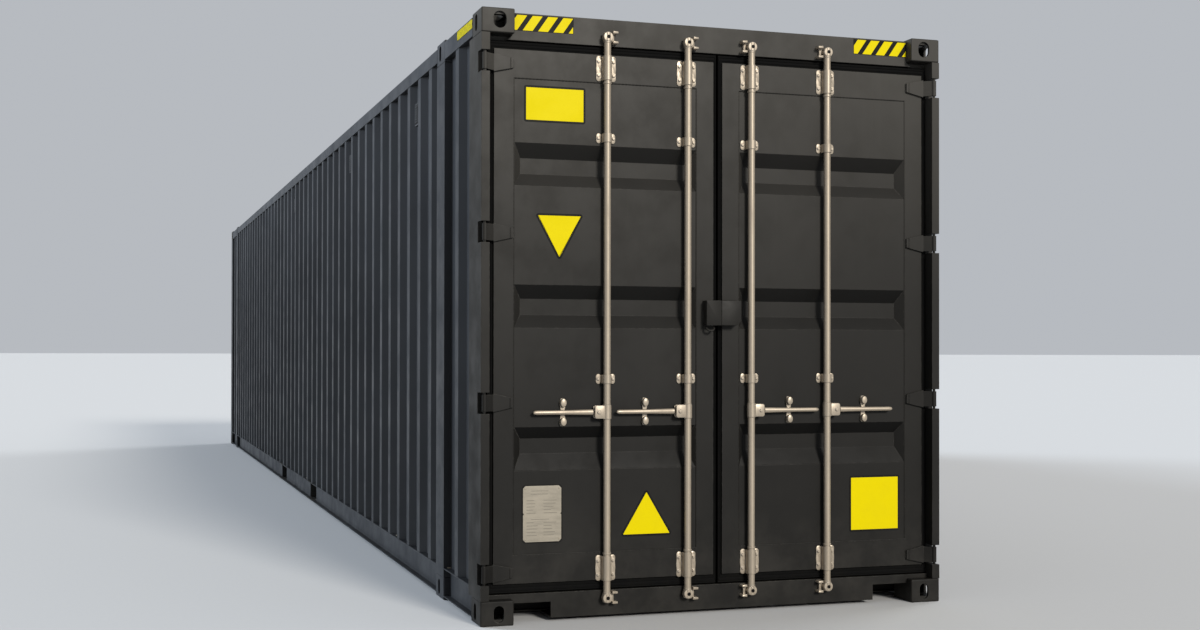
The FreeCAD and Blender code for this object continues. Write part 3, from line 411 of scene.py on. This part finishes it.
def bolt(piece, at, axis, across=19 * MM, finish=0):
    """Hex bolt head with its washer, turned by chance."""
    washer = across * 0.68
    turned(piece, [(washer, 0), (washer, 1.2 * MM), (washer * 0.96, 1.8 * MM)],
           at, axis, 18, finish)
    head = across / math.sqrt(3)
    spin = CHANCE.uniform(0, math.pi / 3)
    turned(piece, [(head, 1.5 * MM), (head, 6 * MM), (head * 0.86, 7.5 * MM),
                   (head * 0.3, 7.8 * MM)], at, axis, 6, finish, spin)


def rivet(piece, at, axis, radius=4 * MM, finish=0):
    turned(piece, [(radius, 0), (radius * 0.95, 0.35 * radius), (radius * 0.7, 0.62 * radius),
                   (radius * 0.3, 0.75 * radius)], at, axis, 14, finish)


def swept(piece, path, radius, sides=12, finish=0):
    """A round bar along a path of points, closed at both ends."""
    path = [Vector(p) for p in path]
    corners, loops = [], []
    for i, here in enumerate(path):
        way = (path[min(i + 1, len(path) - 1)] - path[max(i - 1, 0)]).normalized()
        aside, up, _ = axes_of(way)
        for k in range(sides):
            angle = 2 * math.pi * k / sides
            corners.append(here + (aside * math.cos(angle) + up * math.sin(angle)) * radius)
    for ring in range(len(path) - 1):
        for k in range(sides):
            j = (k + 1) % sides
            loops.append((ring * sides + k, ring * sides + j,
                          (ring + 1) * sides + j, (ring + 1) * sides + k))
    loops.append(tuple(range(sides))[::-1])
    loops.append(tuple(range(sides * (len(path) - 1), sides * len(path))))
    piece.faces(corners, loops, finish)


def bead(piece, start, stop, normal, size=3 * MM, pitch=7 * MM, finish=0):
    """A weld bead from start to stop: a low ridge with a ripple at every stitch."""
    start, stop, normal = Vector(start), Vector(stop), Vector(normal).normalized()
    way = stop - start
    count = max(2, round(way.length / pitch))
    across = way.normalized().cross(normal) * size
    section = [(-1.0, -0.25), (-0.7, 0.45), (0.0, 0.8), (0.7, 0.45), (1.0, -0.25)]
    corners, loops = [], []
    for i in range(count + 1):
        swell = 1.0 + (0.22 if i % 2 else -0.12) + CHANCE.uniform(-0.08, 0.08)
        centre = start + way * (i / count)
        for aside, up in section:
            corners.append(centre + across * aside * swell + normal * size * up * swell)
    for i in range(count):
        for k in range(len(section) - 1):
            first = i * len(section) + k
            loops.append((first, first + 1, first + len(section) + 1, first + len(section)))
    loops.append(tuple(range(len(section))))
    loops.append(tuple(range(count * len(section), (count + 1) * len(section)))[::-1])
    piece.faces(corners, loops, finish)


# ---------------------------------------------------------------- rod brackets
ONE_LOBE_WIDTH = 0.84
WAIST_DEPTH = 0.14


def scalloped(wide, high, lobes):
    """Outline of a bracket pad: round lobes one above the other, waisted between."""
    right = []
    steps = 24
    for i in range(steps + 1):
        share = i / steps
        height = -high / 2 + high * share
        end = min(share, 1 - share) * high
        tip = math.sqrt(max(0.0, 1 - (1 - min(1.0, end / (wide * 0.45))) ** 2))
        if lobes == 1:
            wave = ONE_LOBE_WIDTH
        else:
            wave = 1 - WAIST_DEPTH * (0.5 - 0.5 * math.cos(2 * math.pi * share * (lobes - 1)))
        right.append((wide / 2 * max(0.34, tip) * wave, height))
    return right + [(-x, z) for x, z in reversed(right)]


def saddle(piece, rod_y, low, high, seat):
    """Pressed strap over the rod: two feet on the leaf and a half-round over the rod."""
    thick = 4 * MM
    reach = ROD_RADIUS + 1 * MM
    inner, outer = [], []
    for turn in range(13):
        angle = math.pi * turn / 12
        inner.append((ROD_X + reach * math.sin(angle), reach * math.cos(angle)))
        outer.append((ROD_X + (reach + thick) * math.sin(angle),
                      (reach + thick) * math.cos(angle)))
    inner = [(seat, reach)] + inner + [(seat, -reach)]
    outer = [(seat, reach + thick)] + outer + [(seat, -reach - thick)]
    count = len(inner)
    corners = []
    for level in (low, high):
        corners += [(x, rod_y + y, level) for x, y in inner + outer]
    loops = []
    double = 2 * count
    for i in range(count - 1):
        loops += [(i, i + 1, count + i + 1, count + i),
                  (double + i, double + count + i, double + count + i + 1, double + i + 1),
                  (i, double + i, double + i + 1, i + 1),
                  (count + i, count + i + 1, double + count + i + 1, double + count + i)]
    for i in (0, count - 1):
        loops.append((i, count + i, double + count + i, double + i))
    piece.faces(corners, loops)


for side, sign in SIDES:
    brackets = Piece(f"{side}_bracket_straps", f"{side}_door", "zinc", "zinc")
    for rod in RODS:
        rod_y = sign * ROD_Y[rod]
        for level in BIG_LEVELS + SMALL_LEVELS:
            big = level in BIG_LEVELS
            high = BIG_HIGH if big else SMALL_HIGH
            seat = LEAF_FACE if big else PANEL_FACE
            half_strap = high / 2 - 3 * MM
            saddle(brackets, rod_y, level - half_strap, level + half_strap, seat)
            for hand in (-1, 1):
                pad_y = rod_y + hand * 36 * MM
                outline = scalloped(30 * MM, high, 3 if big else 1)
                slab(brackets, outline, (seat, pad_y, level), (1, 0, 0), 6 * MM, 2 * MM)
                for step in ((-0.27, 0.27) if big else (0.0,)):
                    bolt(brackets, (seat + 6 * MM, pad_y + hand * 2 * MM, level + step * high),
                         (1, 0, 0), 13 * MM)
    strap = brackets.done()
    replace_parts(strap, f"{side}_rod_brackets")

# ---------------------------------------------------------------- rods, cams and knobs
for side, sign in SIDES:
    for rod in RODS:
        rod_y = sign * ROD_Y[rod]
        trim = Piece(f"{side}_{rod}_rod_trim", f"{side}_{rod}_rod", "zinc", "zinc", "painted_hole_shade")
        for level in (BIG_LEVELS[0] + 72 * MM, BIG_LEVELS[1] - 72 * MM):
            turned(trim, [(17.2 * MM, -5 * MM), (20.5 * MM, -4 * MM), (20.5 * MM, 4 * MM),
                          (17.2 * MM, 5 * MM)], (ROD_X, rod_y, level), (0, 0, 1), 20)
        for level in (0.129, 2.771):
            turned(trim, [(17.1 * MM, -4 * MM), (19.0 * MM, -2 * MM), (19.0 * MM, 2 * MM),
                          (17.1 * MM, 4 * MM)], (ROD_X, rod_y, level), (0, 0, 1), 20)
        knob_face = max(vertex.co.x for vertex in NODES[f"{side}_{rod}_rod"].data.vertices
                        if abs(vertex.co.z - CAM_LEVELS[0]) < 40 * MM)
        for level in CAM_LEVELS:
            turned(trim, [(23.5 * MM, -10 * MM), (24.5 * MM, -6 * MM), (24.5 * MM, 14 * MM),
                          (22 * MM, 17.5 * MM), (10 * MM, 18.5 * MM)],
                   (ROD_X, rod_y, level), (1, 0, 0), 28)
            # a near-black disc on the knob's face: painted shade of an opening in its end
            turned(trim, [(9 * MM, -0.5 * MM), (9 * MM, 0.3 * MM), (8 * MM, 0.4 * MM)],
                   (knob_face, rod_y, level), (1, 0, 0), 16, 1)
        for height in (-1, 1):
            ring = HANDLE_Z + height * 33 * MM
            turned(trim, [(17.1 * MM, -4 * MM), (20.0 * MM, -1.5 * MM), (20.0 * MM, 1.5 * MM),
                          (17.1 * MM, 4 * MM)], (ROD_X, rod_y, ring), (0, 0, 1), 20)
        cheek_y = rod_y + sign * 40 * MM
        for face in (-1, 1):
            slab(trim, rounded_rectangle(50 * MM, 60 * MM, 9 * MM),
                 (ROD_X + face * 14 * MM, cheek_y, HANDLE_Z), (face, 0, 0), 2.5 * MM, 1.2 * MM)
        bolt(trim, (ROD_X + 15.5 * MM, sign * (ROD_Y[rod] + HANDLE_START), HANDLE_Z), (1, 0, 0),
             16 * MM)
        trim.done()

# ---------------------------------------------------------------- handles and their retainers
for side, sign in SIDES:
    catches = Piece(f"{side}_retainer_lobes", f"{side}_door", "zinc", "zinc", "dark_steel")
    for rod in RODS:
        rod_y = sign * ROD_Y[rod]
        grip = Piece(f"{side}_{rod}_handle_grip", f"{side}_{rod}_handle", "zinc", "zinc")
        start, stop = ROD_Y[rod] + HANDLE_START, ROD_Y[rod] + HANDLE_REACH
        widths = [(start + 26 * MM, 13.5), (start + 60 * MM, 13.0), (start + 150 * MM, 11.0),
                  (start + 200 * MM, 10.5), (stop - 20 * MM, 10.5), (stop - 9 * MM, 9.5),
                  (stop - 3 * MM, 6.5), (stop, 2.0)]
        rings = []
        for along, half in widths:
            for turn in range(16):
                angle = 2 * math.pi * turn / 16
                rings.append((ROD_X + math.cos(angle) * min(8.5, half) * MM, sign * along,
                              HANDLE_Z + math.sin(angle) * half * MM))
        loops = [tuple(range(16)), tuple(range(16 * (len(widths) - 1), 16 * len(widths)))]
        for ring in range(len(widths) - 1):
            for k in range(16):
                j = (k + 1) % 16
                loops.append((ring * 16 + k, ring * 16 + j, (ring + 1) * 16 + j,
                              (ring + 1) * 16 + k))
        grip.faces(rings, loops)
        turned(grip, [(13.5 * MM, -9 * MM), (15.5 * MM, -7 * MM), (15.5 * MM, 7 * MM),
                      (13.5 * MM, 9 * MM)], (ROD_X, sign * start, HANDLE_Z), (1, 0, 0), 24)
        grip_piece = grip.done()
        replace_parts(grip_piece, f"{side}_{rod}_handle")

        centre_y = sign * (ROD_Y[rod] + 216 * MM)
        outline = []
        for i in range(56):
            share = i / 56
            angle = 2 * math.pi * share
            z = 67 * MM * math.sin(angle)
            lobe = 0.52 + 0.48 * min(1.0, abs(math.sin(angle)) * 1.25) ** 1.5
            y = 19.5 * MM * lobe * math.copysign(abs(math.cos(angle)) ** 0.55, math.cos(angle))
            outline.append((y, z))
        slab(catches, outline, (PANEL_FACE, centre_y, HANDLE_Z), (1, 0, 0), 7 * MM, 3 * MM)
        for up in (-1, 1):
            lobe_z = HANDLE_Z + up * 45 * MM
            knob = [(0.0155 * math.cos(a / 20 * 2 * math.pi),
                     0.0205 * math.sin(a / 20 * 2 * math.pi)) for a in range(20)]
            slab(catches, knob, (PANEL_FACE + 6 * MM, centre_y, lobe_z), (1, 0, 0),
                 20 * MM, 6 * MM)
        rivet(catches, (PANEL_FACE + 7 * MM, centre_y, HANDLE_Z), (1, 0, 0), 7 * MM, 1)
    lobes = catches.done()
    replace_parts(lobes, f"{side}_handle_retainers")

# ---------------------------------------------------------------- fixed keepers beside the cams
jaws = Piece("keeper_jaws", "container_frame", "zinc", "zinc", "weld")
KEEPER_FACE = BOX["rod_keepers"][0][0]
for _, sign in SIDES:
    for rod in RODS:
        rod_y = sign * ROD_Y[rod]
        for level in CAM_LEVELS:
            back = [(-sign * y, z) for y, z in ((25 * MM, -30 * MM), (38 * MM, -30 * MM),
                                                (38 * MM, 30 * MM), (25 * MM, 30 * MM))]
            slab(jaws, rounded_outline(back, 3 * MM), (KEEPER_FACE, rod_y, level), (1, 0, 0),
                 16 * MM, 2 * MM)
            for up in (-1, 1):
                finger = [(-sign * y, z) for y, z in ((25.5 * MM, -6.5 * MM), (53 * MM, -5 * MM),
                                                      (53 * MM, 5 * MM), (25.5 * MM, 6.5 * MM))]
                slab(jaws, rounded_outline(finger, 2.5 * MM), (KEEPER_FACE, rod_y,
                     level + up * 24 * MM), (1, 0, 0), 38 * MM, 3 * MM)
                bead(jaws, (KEEPER_FACE, rod_y - sign * 26 * MM, level + up * 31.5 * MM),
                     (KEEPER_FACE, rod_y - sign * 51 * MM, level + up * 30.5 * MM), (1, 0, 0),
                     3 * MM, 6 * MM, 1)
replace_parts(jaws.done(), "rod_keepers")

# ---------------------------------------------------------------- welds and ribs of the leaves
HINGES, FIRST_HINGE, HINGE_PITCH = 4, 0.240, 0.802
RIB_SHARES = (0.35, 0.75)                     # places of the ribs across the seal
for side, sign in SIDES:
    low, high = BOX[f"{side}_door_panel"]
    seams = Piece(f"{side}_panel_welds", f"{side}_door", "door_paint", "weld")
    corners = [(low[1], low[2]), (high[1], low[2]), (high[1], high[2]), (low[1], high[2])]
    for i, (y, z) in enumerate(corners):
        next_y, next_z = corners[(i + 1) % 4]
        bead(seams, (PANEL_FACE, y, z), (PANEL_FACE, next_y, next_z), (1, 0, 0), 4.5 * MM, 9 * MM)
    hinge_low, hinge_high = BOX[f"{side}_hinge_blades"]
    blade_end = min(abs(hinge_low[1]), abs(hinge_high[1]))
    for index in range(HINGES):
        z = FIRST_HINGE + index * HINGE_PITCH
        for x, dy, half in ((FRONT - 38 * MM, 16 * MM, 24 * MM), (LEAF_FACE, 0.0, 21 * MM)):
            y = sign * (blade_end + dy - 1.5 * MM)
            bead(seams, (x, y, z - half), (x, y, z + half), (1, 0, 0), 3 * MM, 7 * MM)
    seams.done()
    seal_low, seal_high = BOX[f"{side}_door_seal"]
    ribs = Piece(f"{side}_seal_ribs", f"{side}_door", "seal_rubber", "seal_rubber")
    leaf_low, leaf_high = BOX[f"{side}_door_frame"]
    rib_x = seal_high[0]
    edges = sorted((abs(seal_low[1]), abs(seal_high[1])))
    leaf_edges = sorted((abs(leaf_low[1]), abs(leaf_high[1])))
    for share in RIB_SHARES:
        inner_y = edges[0] + (leaf_edges[0] - edges[0]) * (1 - share)
        outer_y = leaf_edges[1] + (edges[1] - leaf_edges[1]) * share
        base_z = leaf_low[2] + (seal_low[2] - leaf_low[2]) * share
        head_z = leaf_high[2] + (seal_high[2] - leaf_high[2]) * share
        loop = [(rib_x, sign * inner_y, base_z), (rib_x, sign * outer_y, base_z),
                (rib_x, sign * outer_y, head_z), (rib_x, sign * inner_y, head_z)]
        for i in range(4):
            swept(ribs, [loop[i], loop[(i + 1) % 4]], 3.2 * MM, 8)
    ribs.done()

# ---------------------------------------------------------------- lock box
box_low, box_high = BOX["lock_box_cover"]
BOX_PROUD = box_high[0] - LEAF_FACE
cover = Piece("lock_cover_shell", "right_door", "door_paint", "door_paint", "painted_hole_shade", "weld")
SEAM = 1 * MM
cover_shape = [(SEAM, box_low[2]), (box_high[1] - 22 * MM, box_low[2]),
               (box_high[1], box_low[2] + 22 * MM), (box_high[1], box_high[2]),
               (SEAM, box_high[2])]
slab(cover, rounded_outline(cover_shape, 1.5 * MM), (LEAF_FACE, 0, 0), (1, 0, 0), BOX_PROUD,
     1.5 * MM)
SHELL_WALL = 6 * MM
MOUTH_Y = (14 * MM, 78 * MM)
mouth = [(BOX_PROUD - SHELL_WALL, MOUTH_Y[0]), (SHELL_WALL, MOUTH_Y[0]),
         (SHELL_WALL, MOUTH_Y[1]), (BOX_PROUD - SHELL_WALL, MOUTH_Y[1])]
# a near-black box in the cover's open bottom: painted shade inside the box
cover.faces([(LEAF_FACE + x, y, box_low[2] - 0.4 * MM) for x, y in mouth]
            + [(LEAF_FACE + x, y, box_low[2] + 1 * MM) for x, y in mouth],
            [(0, 1, 2, 3), (7, 6, 5, 4), (0, 4, 5, 1), (1, 5, 6, 2), (2, 6, 7, 3), (3, 7, 4, 0)], 1)
bead(cover, (LEAF_FACE, box_high[1], box_low[2] + 24 * MM), (LEAF_FACE, box_high[1], box_high[2]),
     (1, 0.6, 0), 4 * MM, 7 * MM, 2)
bead(cover, (LEAF_FACE, box_low[1] + 24 * MM, box_high[2]), (LEAF_FACE, box_high[1], box_high[2]),
     (1, 0, 0.6), 4 * MM, 7 * MM, 2)
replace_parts(cover.done(), "lock_box_cover")

staple_low, staple_high = BOX["lock_box_staple"]
staple = Piece("lock_staple_block", "left_door", "door_paint", "door_paint", "weld")
block_low = box_low[2]                        # the CAD staple also hangs below its block
staple_shape = [(staple_low[1], block_low), (-SEAM, block_low),
                (-SEAM, staple_high[2]), (staple_low[1], staple_high[2])]
slab(staple, rounded_outline(staple_shape, 1.5 * MM), (LEAF_FACE, 0, 0), (1, 0, 0), BOX_PROUD,
     1.5 * MM)
eye_y, eye_z = (staple_low[1] - 24 * MM) / 2, block_low - 12 * MM
ring = []
for step in range(25):
    angle = 2 * math.pi * step / 24
    ring.append((LEAF_FACE + 27 * MM - 9 * MM * math.cos(angle), eye_y + 20 * MM * math.sin(angle),
                 eye_z + 14 * MM * math.cos(angle)))
swept(staple, ring, 5 * MM, 10, 0)
bead(staple, (LEAF_FACE, staple_low[1], block_low), (LEAF_FACE, staple_low[1], staple_high[2]),
     (1, -0.6, 0), 4 * MM, 7 * MM, 1)
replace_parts(staple.done(), "lock_box_staple")

# ---------------------------------------------------------------- floor screws and lashing rings
floor_low, floor_high = BOX["floor_boards"]
screws = Piece("floor_screws", "container_frame", "zinc", "dark_steel")
SCREW_ROWS, END_MARGIN = 40, 0.12
SCREW_HEAD = [(5 * MM, -0.4 * MM), (5 * MM, 0.3 * MM), (3.4 * MM, 0.5 * MM)]
row_pitch = (floor_high[0] - floor_low[0] - 2 * END_MARGIN) / (SCREW_ROWS - 1)
for row in range(SCREW_ROWS):
    x = floor_low[0] + END_MARGIN + row * row_pitch
    for board in range(-7, 8):
        for dy in (-50 * MM, 50 * MM):
            off_line = CHANCE.uniform(-4, 4) * MM
            turned(screws, SCREW_HEAD, (x + off_line, board * BOARD_WIDE + dy, floor_high[2]),
                   (0, 0, 1), 8)
screws.done()

rings = Piece("lashing_rings", "container_frame", "zinc", "zinc", "weld")
RINGS_A_SIDE, FIRST_RING, RING_PITCH = 10, -6.1, 1.355
LOOP_HALF, LOOP_FOOT = 27 * MM, 28 * MM
base_z = floor_high[2]
for _, sign in SIDES:
    wall_y = sign * (floor_high[1] - 12 * MM)
    for index in range(RINGS_A_SIDE):
        x = FIRST_RING + index * RING_PITCH
        slab(rings, rounded_rectangle(70 * MM, 22 * MM, 4 * MM), (x, wall_y, base_z), (0, 0, 1),
             4 * MM, 1 * MM)
        arch = [(x - LOOP_HALF, wall_y, base_z)]
        for step in range(13):
            angle = math.pi * step / 12
            arch.append((x - LOOP_HALF * math.cos(angle), wall_y,
                         base_z + LOOP_FOOT + LOOP_HALF * math.sin(angle)))
        arch.append((x + LOOP_HALF, wall_y, base_z))
        swept(rings, arch, 5.5 * MM, 10)
        for dx in (-1, 1):
            turned(rings, [(9 * MM, 0), (8.5 * MM, 3 * MM), (6.5 * MM, 5 * MM)],
                   (x + dx * LOOP_HALF, wall_y, base_z + 3.5 * MM), (0, 0, 1), 12, 1)
rings.done()

# ---------------------------------------------------------------- vent louvres
vents = Piece("vent_louvres", "container_frame", "vent_plastic", "vent_plastic", "painted_hole_shade")
vent_places = {}
for vertex in NODES["wall_vents"].data.vertices:
    key = (round(vertex.co.x * 2) / 2, vertex.co.y > 0)
    vent_places.setdefault(key, []).append(vertex.co.copy())
for (_, far), points in vent_places.items():
    sign = 1 if far else -1
    xs, zs = [p.x for p in points], [p.z for p in points]
    face = max(sign * p.y for p in points) * sign
    x, wide = (min(xs) + max(xs)) / 2, max(xs) - min(xs)
    z, high = (min(zs) + max(zs)) / 2, max(zs) - min(zs)
    # a near-black sheet behind the louvres: painted shade of the vent's inside
    slab(vents, rounded_rectangle(wide - 14 * MM, high - 14 * MM, 6 * MM), (x, face, z),
         (0, sign, 0), 0.4 * MM, 0.0, 1)
    for row in range(7):
        level = z + (row - 3) * (high - 26 * MM) / 7
        slab(vents, rounded_rectangle(wide - 18 * MM, 8 * MM, 2.5 * MM, 2), (x, face, level),
             (0, sign, 0.35), 3 * MM, 1.2 * MM)
    for dx in (-1, 1):
        for dz in (-1, 1):
            rivet(vents, (x + dx * (wide / 2 - 5 * MM), face, z + dz * (high / 2 - 5 * MM)),
                  (0, sign, 0), 3 * MM)
vents.done()

# ---------------------------------------------------------------- decals, blank
def inset(outline, depth):
    """A convex outline drawn in by depth along every edge."""
    count = len(outline)
    places = [Vector(p) for p in outline]
    middle = sum(places, Vector((0, 0))) / count
    moved = []
    for i, here in enumerate(places):
        way = (places[(i + 1) % count] - places[i - 1]).normalized()
        inward = Vector((-way.y, way.x))
        if inward.dot(middle - here) < 0:
            inward.negate()
        moved.append(tuple(here + inward * depth))
    return moved


def film(piece, outline, at, normal=(1, 0, 0), border=10 * MM):
    """Printed film: a dark edge and a coloured face a hair in front of it."""
    slab(piece, outline, at, normal, 0.5 * MM, 0.0, 1)
    front = Vector(at) + Vector(normal) * 0.5 * MM
    slab(piece, inset(outline, border), front, normal, 0.3 * MM, 0.0, 0)


def clipped(outline, left, right):
    """The part of an outline between two upright lines."""
    for edge, keep in ((left, 1), (right, -1)):
        kept = []
        for i, here in enumerate(outline):
            before = outline[i - 1]
            inside, was_inside = keep * (here[0] - edge) >= 0, keep * (before[0] - edge) >= 0
            if inside != was_inside:
                share = (edge - before[0]) / (here[0] - before[0])
                kept.append((edge, before[1] + share * (here[1] - before[1])))
            if inside:
                kept.append(here)
        outline = kept
    return outline


def hazard_bars(piece, at, normal, wide, high, bars, lean, dark_share=0.36):
    """A black strip with leaning yellow bars."""
    slab(piece, rounded_rectangle(wide, high, 3 * MM), at, normal, 0.2 * MM, 0.0, 1)
    front = Vector(at) + Vector(normal) * 0.2 * MM
    pitch = wide / bars
    tall = high - 6 * MM
    for i in range(-1, bars + 1):
        left = -wide / 2 + i * pitch
        right = left + pitch * (1 - dark_share)
        bar = [(left - lean / 2, -tall / 2), (right - lean / 2, -tall / 2),
               (right + lean / 2, tall / 2), (left + lean / 2, tall / 2)]
        bar = clipped(bar, -wide / 2 + 3 * MM, wide / 2 - 3 * MM)
        if len(bar) > 2:
            slab(piece, bar, front, normal, 0.15 * MM, 0.0, 0)


FILM_CORNER = 11 * MM
panel_marks = Piece("left_door_films", "left_door", "plate_metal", "yellow_film", "black_film")
film(panel_marks, rounded_rectangle(0.307, 0.174, FILM_CORNER), (PANEL_FACE, -0.8435, 2.462))
pointing_down = rounded_outline([(-0.124, 0.114), (0.0, -0.114), (0.124, 0.114)], FILM_CORNER)
film(panel_marks, pointing_down, (PANEL_FACE, -0.820, 1.828))
pointing_up = rounded_outline([(-0.1385, -0.116), (0.1385, -0.116), (0.0, 0.116)], 12 * MM)
film(panel_marks, pointing_up, (PANEL_FACE, -0.3745, 0.505))
plate_low, plate_high = BOX["data_plate"]
plate_y, plate_z = ((plate_low[axis] + plate_high[axis]) / 2 for axis in (1, 2))
# a black sheet a little larger than the data plate, under it: painted shadow round the plate's edge
slab(panel_marks, rounded_rectangle(plate_high[1] - plate_low[1] + 12 * MM,
                                    plate_high[2] - plate_low[2] + 12 * MM, 20 * MM),
     (PANEL_FACE, plate_y, plate_z), (1, 0, 0), 0.4 * MM, 0.0, 1)
panel_marks.done()
square_mark = Piece("right_door_film", "right_door", "plate_metal", "yellow_film", "black_film")
film(square_mark, rounded_rectangle(0.288, 0.285, FILM_CORNER), (PANEL_FACE, 0.873, 0.5105))
square_mark.done()
HEADER_FACE = BOX["door_header"][1][0]
hazards = Piece("height_warning_bars", "container_frame", "plate_metal", "yellow_film",
                "black_film")
for side, sign in SIDES:
    hazard_bars(hazards, (HEADER_FACE, sign * 0.904, 2.843), (1, 0, 0), 0.306, 0.078, 4, 0.05)
    rail_face = BOX[f"{side}_top_rail"][0 if sign < 0 else 1][1]
    hazard_bars(hazards, (FRONT - 0.334, rail_face, 2.853), (0, sign, 0), 0.312, 0.05, 12, 0.03)
hazards.done()

# ---------------------------------------------------------------- print on the data plate
plate_print = Piece("data_plate_lines", "left_door", "plate_metal", "print_film", "zinc")
for row in range(15):
    if row in (2, 8):
        continue
    z = plate_high[2] - 24 * MM - row * 15 * MM
    spans = [(-0.056, 0.056)] if row in (0, 1, 9) else [(-0.078, -0.014), (0.006, 0.076)]
    for start, stop in spans:
        stop -= CHANCE.uniform(0.0, 0.034)
        words = rounded_rectangle(stop - start, 3.2 * MM, 1 * MM, 1, ((start + stop) / 2, 0))
        slab(plate_print, words, (plate_high[0], plate_y, z), (1, 0, 0), 0.2 * MM)
for dy in (-1, 1):
    for z in (plate_low[2] + 13 * MM, plate_high[2] - 13 * MM):
        rivet(plate_print, (plate_high[0], plate_y + dy * 84 * MM, z), (1, 0, 0), 3.2 * MM, 1)
plate_print.done()

# ---------------------------------------------------------------- camera, floor and light
camera = bpy.data.objects.new("camera", bpy.data.cameras.new("camera"))
bpy.context.collection.objects.link(camera)
camera.data.sensor_width = 36.0
camera.data.lens = 43.31
camera.data.shift_x, camera.data.shift_y = 0.0395, 0.0183
camera.data.clip_end = 400.0
camera.location = (13.3756, -2.8984, 1.2940)
camera.rotation_mode = "QUATERNION"
heading = Vector((-0.9548, 0.2972, 0.0086)).to_track_quat("-Z", "Y")
camera.rotation_quaternion = heading @ Matrix.Rotation(math.radians(0.096), 3, "Z").to_quaternion()
bpy.context.scene.camera = camera

ground = bpy.data.meshes.new("studio_floor")
reach = 900.0
ground.from_pydata([(-reach, -reach, 0), (reach, -reach, 0), (reach, reach, 0),
                    (-reach, reach, 0)], [], [(0, 1, 2, 3)])
floor_look = Finish("studio_floor", Roughness=0.9, Specular_IOR_Level=0.1)
floor_look.colour(floor_look.mixed(floor_look.noise(40.0, 2.0), grey(0.47), grey(0.49)))
ground.materials.append(floor_look.material)
studio_floor = bpy.data.objects.new("studio_floor", ground)
bpy.context.collection.objects.link(studio_floor)


def soft_light(name, direction, spread, strength, colour, glossy=True):
    """A far, broad light: the same strength everywhere, its shadows softened by its spread."""
    lamp = bpy.data.lights.new(name, "SUN")
    lamp.angle = math.radians(spread)
    lamp.energy, lamp.color = strength, colour
    thing = bpy.data.objects.new(name, lamp)
    bpy.context.collection.objects.link(thing)
    thing.location = Vector(direction) * 30
    thing.visible_glossy = glossy
    thing.rotation_euler = Vector(direction).to_track_quat("Z", "Y").to_euler()


soft_light("key", (0.90, 0.20, 0.40), 14, 3.5, (1.0, 0.96, 0.89))
soft_light("side_key", (-0.61, -0.74, 0.28), 14, 5.0, (0.76, 0.87, 1.0), glossy=False)
soft_light("far_side_fill", (-0.40, 0.82, 0.41), 30, 1.6, (0.92, 0.96, 1.0), glossy=False)

world = bpy.data.worlds.new("studio")
bpy.context.scene.world = world
world.use_nodes = True
sky = world.node_tree.nodes["Background"]
sky.inputs["Color"].default_value = (0.86, 0.9, 0.96, 1)
sky.inputs["Strength"].default_value = 0.55
bpy.context.scene.view_settings.view_transform = "Standard"
